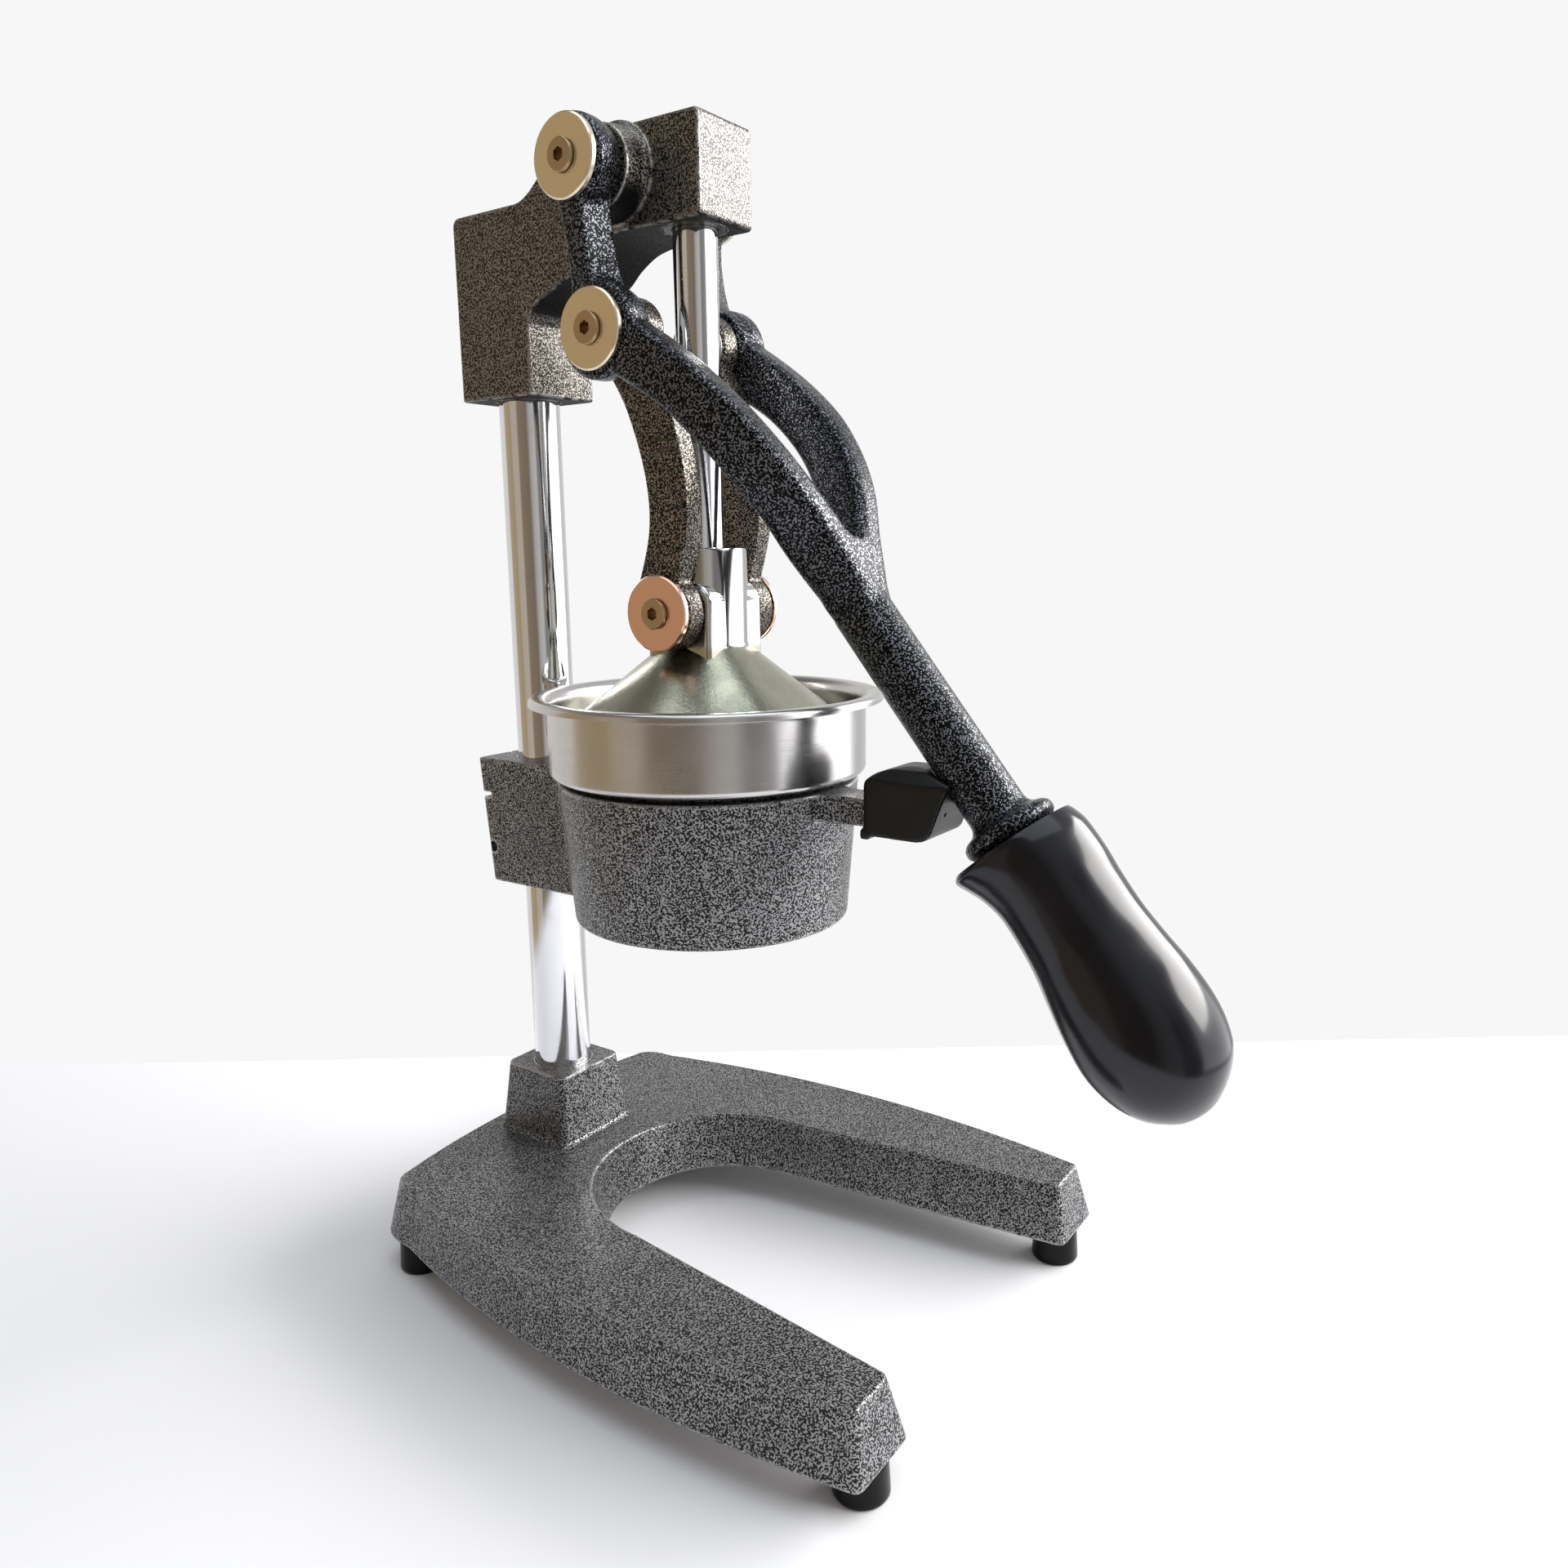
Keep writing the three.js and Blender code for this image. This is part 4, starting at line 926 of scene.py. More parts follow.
@dataclass(frozen=True)
class TurnedMetal(Finish):
    """Metal turned or spun on a lathe, with fine rings round a vertical axis."""

    colour: Colour
    roughness: float
    centre_y: float
    ring: float = 0.0004
    depth: float = 0.000012
    hazes: float = 45.0

    def lay(self, graph: Graph) -> None:
        """Build rings from the distance to the axis and the height, and a soft haze.

        Args:
            graph: Node tree to build them in.
        """
        where = graph.place(centre=(0, self.centre_y, 0))
        x, y, z = graph.split(where)
        radius = (x * x + y * y) ** 0.5
        angle = y.turn_of(x)
        track = graph.node("ShaderNodeCombineXYZ", None,
                           {"X": radius / self.ring, "Y": z / self.ring, "Z": angle * 1.5})
        rings = graph.noise(track, 1, 3, 0.6)
        haze = graph.noise(graph.place(), self.hazes, 4).ramped(0.35, 0.75)
        graph.surface({
            "Base Color": graph.mix(rings * 0.5 + haze * 0.35, self.colour,
                                    toned(self.colour, 0.78)),
            "Metallic": 1.0,
            "Roughness": rings * 0.12 + haze * 0.1 + (self.roughness - 0.1),
            "Normal": graph.bump(rings, self.depth),
        })


@dataclass(frozen=True)
class SatinMetal(Finish):
    """Satin or cast metal with grain that runs the same every way."""

    colour: Colour
    roughness: float
    grain: float = 0.0006
    depth: float = 0.00002
    stained: float = 0.5
    stains: float = 90.0

    def lay(self, graph: Graph) -> None:
        """Build fine grain and slow staining.

        Args:
            graph: Node tree to build them in.
        """
        where = graph.place()
        grain = graph.noise(where, 1 / self.grain, 3, 0.6)
        stain = graph.noise(where, self.stains, 3).ramped(0.3, 0.75)
        graph.surface({
            "Base Color": graph.mix(stain * self.stained + grain * 0.2, self.colour,
                                    toned(self.colour, 0.7)),
            "Metallic": 1.0,
            "Roughness": grain * 0.1 + stain * 0.08 + (self.roughness - 0.08),
            "Normal": graph.bump(grain, self.depth),
        })


@dataclass(frozen=True)
class PressMetal(Finish):
    """Pitted casting below a height, and polished metal above it."""

    cast: Colour
    polished: Colour
    height: float
    border: float = 0.0015
    pit: float = 0.0011
    depth: float = 0.00007
    stains: float = 90.0
    lines: float = 3000.0

    def lay(self, graph: Graph) -> None:
        """Build pits and stains that fade out towards the polished part.

        Args:
            graph: Node tree to build them in.
        """
        where = graph.place()
        up = graph.split(where)[2]
        low = up.ramped(self.height + self.border, self.height - self.border)
        pits = graph.noise(where, 1 / self.pit, 3, 0.6)
        stain = graph.noise(where, self.stains, 3).ramped(0.3, 0.75)
        fine = graph.noise(where, self.lines, 2)
        rough = graph.mix(stain * 0.6 + pits * 0.2, self.cast, toned(self.cast, 0.62))
        graph.surface({
            "Base Color": graph.mix(low, self.polished, rough),
            "Metallic": 1.0,
            "Roughness": low * (pits * 0.1 + stain * 0.08) + fine * 0.06 + 0.12,
            "Normal": graph.bump(low * pits + fine * 0.03, self.depth),
        })


@dataclass(frozen=True)
class MouldedPlastic(Finish):
    """Moulded plastic or rubber with a fine skin and slight rubs."""

    colour: Colour
    roughness: float
    grain: float = 0.0005
    depth: float = 0.00001
    coat: float = 0.0
    shine: float = 0.5
    rubs: float = 55.0

    def lay(self, graph: Graph) -> None:
        """Build a fine skin and rubbed patches.

        Args:
            graph: Node tree to build them in.
        """
        where = graph.place()
        skin = graph.noise(where, 1 / self.grain, 2, 0.55)
        rub = graph.noise(where, self.rubs, 4).ramped(0.4, 0.75)
        graph.surface({
            "Base Color": graph.mix(rub * 0.5 + skin * 0.15, self.colour,
                                    toned(self.colour, 1.5, 0.002)),
            "Roughness": rub * 0.12 + skin * 0.06 + (self.roughness - 0.05),
            "Specular IOR Level": self.shine,
            "Coat Weight": self.coat,
            "Coat Roughness": 0.12,
            "Normal": graph.bump(skin, self.depth),
        })


@dataclass(frozen=True)
class Palette:
    """Every finish of the press."""

    base_enamel: Finish = HammeredEnamel("base enamel", shade(168, 168, 170), shade(3, 3, 4),
                                         wear=1.9)
    # Its undersides carry painted shade.
    dark_enamel: Finish = HammeredEnamel("dark enamel", shade(148, 140, 129), shade(1, 1, 1),
                                         light=0.478, relief=0.00025, roughness=0.25,
                                         metallic=0.66, coat=0.4, thin=1)
    link_enamel: Finish = HammeredEnamel("link enamel", shade(154, 143, 129), shade(1, 1, 1),
                                         light=0.472, relief=0.0003, roughness=0.22,
                                         metallic=0.7, wear=0.1)
    arm_enamel: Finish = HammeredEnamel("arm enamel", shade(117, 121, 129), shade(1, 1, 2),
                                        grain=0.00068, light=0.448, roughness=0.15,
                                        metallic=0.8, coat=0.06, wear=0.8)
    chrome: Finish = BrightBar("polished bar", shade(232, 233, 236))
    cup_steel: Finish = TurnedMetal("pressed cup steel", shade(212, 210, 208), 0.24, 0.0371)
    press_metal: Finish = PressMetal("cast press head", shade(186, 186, 166),
                                     shade(206, 206, 204), 0.241)
    aluminium: Finish = SatinMetal("cast aluminium", shade(186, 186, 182), 0.42)
    bronze_cap: Finish = SatinMetal("bronze cap", shade(243, 230, 205), 0.2, grain=0.0004,
                                    depth=0.000001, stained=0.06)
    # Same satin metal as the bronze caps, tinted redder as a painted reflection.
    press_cap: Finish = SatinMetal("press pin cap", shade(255, 209, 190), 0.2, grain=0.0004,
                                   depth=0.000001, stained=0.06)
    cap_screw: Finish = SatinMetal("cap screw", shade(196, 172, 142), 0.26, grain=0.0004,
                                   depth=0.000003, stained=0.3)
    pin_steel: Finish = SatinMetal("pin steel", shade(200, 201, 203), 0.2, depth=0.000006)
    bush_bronze: Finish = SatinMetal("bush bronze", shade(160, 124, 72), 0.38)
    guide_bush: Finish = SatinMetal("dark guide bush", shade(58, 57, 56), 0.4)
    fastener: Finish = SatinMetal("dark fastener", shade(60, 61, 64), 0.38)
    grip: Finish = MouldedPlastic("grip plastic", shade(4, 6, 14), 0.2, coat=0.38, shine=0.28)
    pad_rubber: Finish = MouldedPlastic("pad rubber", shade(4, 5, 8), 0.3, shine=0.34)
    rubber: Finish = MouldedPlastic("moulded rubber", shade(3, 3, 4), 0.26, depth=0.000012,
                                    shine=0.2)


class Bench:
    """Finishes shapes into pieces that stand in the frame's place and ride on its bodies."""

    def __init__(self, frame: dict[str, Any]) -> None:
        """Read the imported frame, and find the plunger's axis in it.
        """
        low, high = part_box("plunger_rod")
        self.axis_y = (low.y + high.y) / 2
        self.nodes: dict[str, bpy.types.Object] = frame["nodes"]
        self.bodies: dict[str, list[str]] = frame["record"]["behaviour"]["bodies"]
        self.slots = {row["node"]: row["material_slot"] for row in frame["record"]["subparts"]}
        self.dressed: set[str] = set()

    def body_of(self, node: str) -> str:
        """Return the body that holds a node."""
        return next(body for body, nodes in self.bodies.items() if node in nodes)

    def set(self, shape: Shape, node: str, finish: Finish, sharp: float = 38) -> None:
        """Finish a shape and put it in place of the node of the same name.

        Args:
            shape: Shape in millimetres.
            node: Node that it replaces.
            finish: Its finish.
            sharp: Turn, in degrees, from which an edge stays sharp.
        """
        limit = math.radians(sharp)
        for face in shape.bm.faces:
            face.smooth = True
        for edge in shape.bm.edges:
            edge.smooth = edge.calc_face_angle(0) < limit
        place = Matrix.Translation((0, self.axis_y, 0)) @ Matrix.Scale(METRE, 4)
        mesh = shape.placed(place).mesh(f"{node}_form")
        mesh.materials.append(finish.material())
        piece = bpy.data.objects.new(f"{node}_fine", mesh)
        bpy.context.scene.collection.objects.link(piece)
        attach(piece, self.body_of(node))
        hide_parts(node)
        evened = piece.modifiers.new("evened", "WEIGHTED_NORMAL")
        evened.keep_sharp = True
        self.dressed.add(node)
        LOG.info("%s: %d faces", piece.name, len(mesh.polygons))

    def dress(self, finish: Finish, *nodes: str) -> None:
        """Give nodes of the frame a finish as they are.

        Args:
            finish: Finish to give.
            nodes: Names of the nodes.
        """
        for node in nodes:
            for slot in self.nodes[node].material_slots:
                slot.material = finish.material()
            self.dressed.add(node)
        LOG.info("%s: %s", finish.name, ", ".join(nodes))


@dataclass(frozen=True)
class Pivots:
    """Places of the pivots as (Y, Z), bores, and how far the slabs reach from the middle."""

    head: Pair = (21.4, 397.8)
    crank: float = 53.6
    crank_degrees: float = 8.8
    press: Pair = (0.0, 253.2)
    clearance: float = 0.3
    boss_reach: float = 24.3
    hub_reach: float = 37.2
    ear_reach: float = 15.5
    pin_bore: float = 6.3
    bush_bore: float = 8.2

    @property
    def mid(self) -> Pair:
        """Return the pivot that joins the lever and the links.

        Returns:
            Its place.
        """
        angle = math.radians(self.crank_degrees)
        return (self.head[0] - self.crank * math.sin(angle),
                self.head[1] - self.crank * math.cos(angle))


@dataclass
class Assembly:
    """Base of the sub-assemblies, with the tools and finishes that they share."""

    bench: Bench
    moulder: Moulder
    palette: Palette
    pivots: Pivots

    def build(self) -> None:
        """Build every piece."""
        raise NotImplementedError


@dataclass
class Stand(Assembly):
    """Base casting, feet, post, cup holder, rest pad and head."""

    edge: float = 0.9
    # Base.
    foot_height: float = 12.7
    thickness: float = 22.0
    front: float = 113.8
    rear: float = 110.5
    shoulder: float = 98.0
    front_half_width: float = 84.3
    rear_half_width: float = 75.6
    side_bulge: float = 22.0
    leg_inner_half_width: float = 63.5
    arch_radius: float = 50.3
    arch_centre_y: float = -1.5
    draft: float = 4.6
    leg_corner: float = 4.0
    rear_corner: float = 9.0
    socket_top: float = 16.6
    socket_bottom: float = 19.3
    socket_height: float = 28.5
    socket_flare: float = 2.2
    socket_corner: float = 3.4
    seat_rise: float = 14.0
    bolt_bore: float = 4.3
    bolt_recess_radius: float = 8.7
    bolt_recess_height: float = 6.8
    # Feet.
    foot_places: tuple[tuple[str, float, float], ...] = (("front", 73, -109.5),
                                                         ("rear", 70.5, 93.5))
    foot_radius: float = 8.8
    foot_screw_bore: float = 2.3
    foot_screw_depth: float = 12.3
    foot_recess_radius: float = 4.1
    foot_recess_depth: float = 5.4
    # Post.
    post_y: float = 83.6
    post_radius: float = 11.5
    post_top: float = 382.2
    post_hole_depth: float = 20.3
    # Cup holder.
    holder_top: float = 193.3
    holder_height: float = 50.6
    ring_top_radius: float = 54.6
    ring_bottom_radius: float = 50.4
    ring_wall: float = 6.2
    cup_seat_radius: float = 48.5
    cup_seat_depth: float = 8.2
    mouth_chamfer: float = 2.0
    holder_half_width: float = 17.3
    holder_rear_top: float = 106.0
    holder_rear_bottom: float = 100.9
    holder_fillet: float = 18.0
    holder_corner: float = 2.5
    stub_front: float = 77.0
    stub_half_width: float = 7.0
    stub_height: float = 9.6
    stub_root: float = 46.0
    clamp_bore: float = 2.3
    clamp_y: float = 99.5
    clamp_rise: float = 14.3
    notch_low: Pair = (99, 177.2)
    notch_high: Pair = (110, 179.6)
    notch_floor: float = 11.0
    # Rest pad.
    pad_voxel: float = 0.45
    pad_passes: int = 7
    dimple_radius: float = 0.8
    shank_slope: float = 51.3
    groove_radius: float = 10.2
    groove_y: float = -93.0
    groove_z: float = 220.1
    # Head.
    head_low: float = 330.7
    head_top: float = 412.3
    head_step: float = 396.2
    head_front: float = 13.7
    head_rear: float = 102.6
    head_half_width: float = 16.2
    head_front_half_width: float = 14.3
    head_corner: float = 2.0
    head_rear_corner: float = 3.5
    arch_top: float = 379.9
    arch_front: float = 20.0
    arch_rear: float = 65.2
    arch_shares: Rows = ((0, 0), (0.06, 0.22), (0.27, 0.4), (0.48, 0.56), (0.62, 0.76),
                         (0.8, 0.93), (1, 1))
    boss_foot: Rows = ((14.3, -18.4), (14.8, -16.6), (15.5, -15.6), (16.1, -15.4),
                       (16.4, -14.9), (16.4, -13))
    guide_radius: float = 10.85
    guide_bore: float = 7.95
    guide_length: float = 13.0
    head_screw_bore: float = 3.3
    head_screw_reach: float = 110.0
    head_screw_heights: Pair = (346.7, 366.2)

    def _base_plan(self, spread: float) -> list[Pair]:
        """Draw the plan of the U.

        Args:
            spread: How far it is spread outwards.

        Returns:
            The closed outline.
        """
        front = self.front + spread
        rear = self.rear + spread
        outer = self.front_half_width + spread
        rear_outer = self.rear_half_width + spread
        inner = self.leg_inner_half_width - spread
        arch = self.arch_radius - spread
        corner = self.leg_corner
        half = Outline(0, self.arch_centre_y + arch)
        half.arc((0, self.arch_centre_y), arch, math.pi / 2, 0, 36)
        half.line(inner, corner - front)
        half.bend((inner, -front), (inner + corner, -front), 5)
        half.line(outer - corner, -front)
        half.bend((outer, -front), (outer, corner - front), 5)
        bulge = ((outer + rear_outer) / 2 + self.side_bulge, (self.shoulder - self.front) / 2)
        half.bend(bulge, (rear_outer, self.shoulder - self.rear_corner), 24)
        middle = (self.shoulder + spread + rear) / 2
        half.bend((rear_outer, self.shoulder + (rear - self.shoulder) / 2),
                  (rear_outer - self.rear_corner, middle), 6)
        half.bend((rear_outer / 2, rear), (0, rear), 14)
        return half.mirrored()

    def _socket_plan(self, half: float) -> list[Pair]:
        """Draw the square plan of the socket, with rounded corners.

        Args:
            half: Half its side.

        Returns:
            The closed outline.
        """
        flat = half - self.socket_corner
        plan = Outline(half, self.post_y - flat)
        for turn, (sx, sy) in enumerate(((1, 1), (-1, 1), (-1, -1), (1, -1))):
            start = turn * math.pi / 2
            plan.arc((sx * flat, self.post_y + sy * flat), self.socket_corner, start,
                     start + math.pi / 2, 5)
        return plan.points[:-1]

    def base(self) -> None:
        """Cast the U-shaped base with the socket that holds the post."""
        under, top = self.foot_height, self.foot_height + self.thickness
        plate = Shape.stacked([(self._base_plan(self.draft), under), (self._base_plan(0), top)])
        flare, steps = self.socket_flare, 6
        rings = [(self.socket_bottom + flare, top - 1)]
        for step in range(steps + 1):
            turn = math.pi / 2 * step / steps
            rings.append((self.socket_bottom + flare * (1 - math.sin(turn)),
                          top + flare * (1 - math.cos(turn))))
        rings.append((self.socket_top, top + self.socket_height))
        socket = Shape.stacked([(self._socket_plan(half), height) for half, height in rings])
        casting = self.moulder.united(plate.bevelled(self.edge, 3, 50),
                                      socket.bevelled(self.edge, 3, 60))
        seat = under + self.seat_rise
        bores = [Shape.bar(self.post_radius + self.pivots.clearance, seat,
                           top + self.socket_height + PAST),
                 Shape.bar(self.bolt_bore, under - PAST, seat + PAST),
                 Shape.bar(self.bolt_recess_radius, under - PAST,
                           under + self.bolt_recess_height)]
        for bore in bores:
            bore.moved(0, self.post_y)
        for _, x, y in self.foot_places:
            for side in Side:
                bore = Shape.bar(self.foot_screw_bore, under - PAST,
                                 under + self.foot_screw_depth, segments=32)
                bores.append(bore.moved(side.value * x, y))
        self.bench.set(self.moulder.cut(casting, *bores), "base_casting",
                       self.palette.base_enamel)

    def feet(self) -> None:
        """Turn the four rubber feet."""
        top = self.foot_height - self.pivots.clearance
        bore, recess, outer = self.foot_screw_bore, self.foot_recess_radius, self.foot_radius
        profile = [(bore, self.foot_recess_depth), (recess, self.foot_recess_depth),
                   (recess, 0.3), (recess + 0.3, 0), (outer - 1.2, 0), (outer - 0.4, 0.3),
                   (outer, 1), (outer - 0.05, 2.2), (outer - 0.5, top - 1.6),
                   (outer - 0.6, top - 0.5), (outer - 1, top), (bore, top)]
        for name, x, y in self.foot_places:
            for side in Side:
                foot = Shape.turned(profile, closed=True, segments=64)
                foot.moved(side.value * x, y)
                self.bench.set(foot, f"foot_{name}_{side.word}", self.palette.rubber)

    def post(self) -> None:
        """Turn the rear post."""
        low = self.foot_height + self.seat_rise + self.pivots.clearance
        post = Shape.bar(self.post_radius, low, self.post_top, 1, 128)
        hole = Shape.bar(self.bolt_bore, low - PAST, low + self.post_hole_depth, segments=32)
        bored = self.moulder.cut(post.moved(0, self.post_y), hole.moved(0, self.post_y))
        self.bench.set(bored, "rear_post", self.palette.chrome)

    def _holder_plan(self, radius: float, rear: float) -> list[Pair]:
        """Draw the plan of ring and block.

        Args:
            radius: Radius of the ring.
            rear: Place of the block's rear.

        Returns:
            The closed outline.
        """
        width, corner = self.holder_half_width, self.holder_corner
        reach = radius + self.holder_fillet
        fillet_x = width + self.holder_fillet
        fillet_y = math.sqrt(reach ** 2 - fillet_x ** 2)
        turn = math.atan2(fillet_y, fillet_x)
        half = Outline(0, -radius)
        half.arc((0, 0), radius, -math.pi / 2, turn, 60)
        half.arc((fillet_x, fillet_y), self.holder_fillet, math.pi + turn, math.pi, 12)
        half.line(width, rear - corner).bend((width, rear), (width - corner, rear), 5)
        return half.mirrored()

    def _stub(self) -> Shape:
        """Make the stub at the holder's front, which widens into the ring.

        Returns:
            The stub.
        """
        front, half = -self.stub_front, self.stub_half_width
        plan = Outline(0, front).line(half - 2, front).bend((half, front), (half, front + 2), 4)
        plan.line(half, front + 16).bend((half, front + 23), (2 * half, front + 26.5), 8)
        plan.line(2 * half, -self.stub_root).line(0, -self.stub_root)
        stub = Shape.prism(plan.mirrored(), self.holder_top - self.stub_height, self.holder_top)
        return stub.bevelled(self.edge, 3, 60)

    def holder(self) -> None:
        """Cast the ring that carries the cup, with its clamp block and stub."""
        top, bottom = self.holder_top, self.holder_top - self.holder_height
        body = Shape.stacked([
            (self._holder_plan(self.ring_bottom_radius, self.holder_rear_bottom), bottom),
            (self._holder_plan(self.ring_top_radius, self.holder_rear_top), top)])
        casting = self.moulder.united(body.bevelled(self.edge, 3, 60), self._stub())
        bore, seat = self.ring_bottom_radius - self.ring_wall, self.cup_seat_radius
        mouth = seat + self.mouth_chamfer
        inside = Shape.turned([(0, bottom - PAST), (bore, bottom - PAST), (bore, bottom),
                               (seat, top - self.cup_seat_depth),
                               (seat, top - self.mouth_chamfer), (mouth, top),
                               (mouth, top + PAST), (0, top + PAST)])
        post_bore = Shape.bar(self.post_radius + self.pivots.clearance, bottom - PAST, top + PAST)
        slit = Shape.block((-1, self.post_y, bottom - PAST),
                           (1, self.holder_rear_top + PAST, top + PAST))
        side = self.holder_half_width + PAST
        notch = Shape.block((-side, *self.notch_low), (-self.notch_floor, *self.notch_high))
        screw = Shape.bar(self.clamp_bore, -side, side, segments=32)
        screw.across((self.clamp_y, bottom + self.clamp_rise))
        casting = self.moulder.cut(casting, inside, post_bore.moved(0, self.post_y), slit, screw,
                                   notch)
        self.bench.set(casting, "cup_holder", self.palette.base_enamel)

    def _pad_body(self) -> Shape:
        """Draw the pad from the side, from above and from the front, and keep what they share.

        Returns:
            The pad without its skirt and its rounding.
        """
        side = Outline(-72.2, 182).line(-72.2, 198.6).bend((-73.4, 201.6), (-76.5, 203), 4)
        side.bend((-84, 206.2), (-93, 205), 6).line(-103.6, 201.4).line(-97.2, 184.8)
        side.bend((-96.2, 182.6), (-92.5, 182.2), 4)
        plan = Outline(0, -72.2).line(9.4, -72.2).bend((11.2, -72.2), (11.4, -74), 4)
        plan.line(12, -92).line(11.4, -110).line(0, -110)
        front = Outline(12.5, 170).line(12.5, 199.6).line(8.2, 204.4).line(0, 206.2)
        return self.moulder.common(Shape.prism(side.points, -13, 13).sideways(),
                                   Shape.prism(plan.mirrored(), 170, 215),
                                   Shape.prism(front.mirrored(), 65, 115).forwards())

    def rest_pad(self) -> None:
        """Mould the rubber pad that the lever's shank rests on."""
        skirt = Shape.block((-11.9, -75, 180.9), (11.9, -71.6, 184.2))
        pad = self.moulder.cast([self._pad_body(), skirt], self.pad_voxel, self.pad_passes)
        pocket = Shape.block((-7.3, -77.3, 184.4), (7.3, -66, 193.6))
        dimple = Shape.bar(self.dimple_radius, -1, 3, segments=24)
        dimple.aimed(Vector((0, -1, -0.4)).normalized(), Vector((-5.5, -99.5, 191)))
        slope = math.radians(self.shank_slope)
        groove = Shape.bar(self.groove_radius, -60, 60, segments=64)
        groove.aimed(Vector((0, math.cos(slope), math.sin(slope))),
                     Vector((0, self.groove_y, self.groove_z)))
        self.bench.set(self.moulder.cut(pad, pocket, dimple, groove), "rest_pad",
                       self.palette.pad_rubber)

    def _head_side(self) -> list[Pair]:
        """Draw the side view of the head.

        Returns:
            The closed outline as (Y, Z).
        """
        low, top, step, arch = self.head_low, self.head_top, self.head_step, self.arch_top
        front, rear = -self.head_front, self.head_rear
        corner, slant = self.head_corner, self.head_rear_corner
        run, rise = self.arch_rear - self.arch_front, (arch - low) / 2
        under = [(self.arch_rear - along * run, arch - (1 - up) * rise)
                 for along, up in self.arch_shares]
        side = Outline(self.arch_rear, low).line(*under[0]).spline(under, 6)
        side.line(front + corner, arch).bend((front, arch), (front, arch + corner), 5)
        side.line(front, top - corner).bend((front, top), (front + corner, top), 5)
        side.line(45, top).bend((45 + slant, top), (45 + 2 * slant, top - slant), 5)
        side.bend((62.5, step), (69.5, step), 6)
        side.line(rear - slant, step).bend((rear, step), (rear, step - slant), 5)
        return side.line(rear, low).points

    def _head_body(self) -> Shape:
        """Make the head's block, which narrows towards the front.

        Returns:
            The block without its boss and bores.
        """
        wide, narrow = self.head_half_width, self.head_front_half_width
        body = Shape.prism(self._head_side(), -wide, wide).sideways()
        for vert in body.bm.verts:
            share = min(max(vert.co.y, 0), self.arch_rear) / self.arch_rear
            vert.co.x *= (narrow + (wide - narrow) * share) / wide
        return body.bevelled(self.edge, 3, 50)

    def head(self) -> None:
        """Cast the head with its pivot boss and bore it for post and rod."""
        body, reach, gap = self._head_body(), self.pivots.boss_reach, self.pivots.clearance
        half = [(0, -reach), (12.4, -reach), (13.4, 0.4 - reach), (13.8, 1.4 - reach),
                *self.boss_foot]
        boss = Shape.turned(half + [(radius, -height) for radius, height in reversed(half)])
        casting = self.moulder.united(body, boss.across(self.pivots.head))
        low, high, length = self.arch_top, self.head_top, self.guide_length + gap
        wide, narrow = self.guide_radius, self.guide_bore
        guide = Shape.turned([(0, low - PAST), (wide, low - PAST), (wide, low + length),
                              (narrow, low + length), (narrow, high - length),
                              (wide, high - length), (wide, high + PAST), (0, high + PAST)])
        post_bore = Shape.bar(self.post_radius + gap, self.head_low - PAST, self.post_top + gap)
        axle_bore = Shape.bar(self.pivots.pin_bore, -reach - PAST, reach + PAST)
        bores = [guide, post_bore.moved(0, self.post_y), axle_bore.across(self.pivots.head)]
        for height in self.head_screw_heights:
            screw = Shape.bar(self.head_screw_bore, -self.head_screw_reach, -self.post_y,
                              segments=32)
            bores.append(screw.forwards().moved(0, 0, height))
        self.bench.set(self.moulder.cut(casting, *bores), "head_casting",
                       self.palette.dark_enamel)

    def small_parts(self) -> None:
        """Dress the fasteners and the axle, and turn the two guide bushes."""
        screws = [f"foot_screw_{end}_{side.word}" for end, *_ in self.foot_places
                  for side in Side]
        self.bench.dress(self.palette.fastener, "post_bolt", "post_washer", "holder_clamp_screw",
                         "head_screw_lower", "head_screw_upper", *screws)
        self.bench.dress(self.palette.pin_steel, "head_axle")
        outer = self.guide_radius - self.pivots.clearance
        for name, low in (("lower", self.arch_top), ("upper", self.head_top - self.guide_length)):
            high = low + self.guide_length
            bush = Shape.turned([(self.guide_bore, low), (outer, low), (outer, high),
                                 (self.guide_bore, high)], closed=True)
            self.bench.set(bush, f"guide_bush_{name}", self.palette.guide_bush)

    def build(self) -> None:
        """Build the whole stand."""
        self.base()
        self.feet()
        self.post()
        self.holder()
        self.rest_pad()
        self.head()
        self.small_parts()


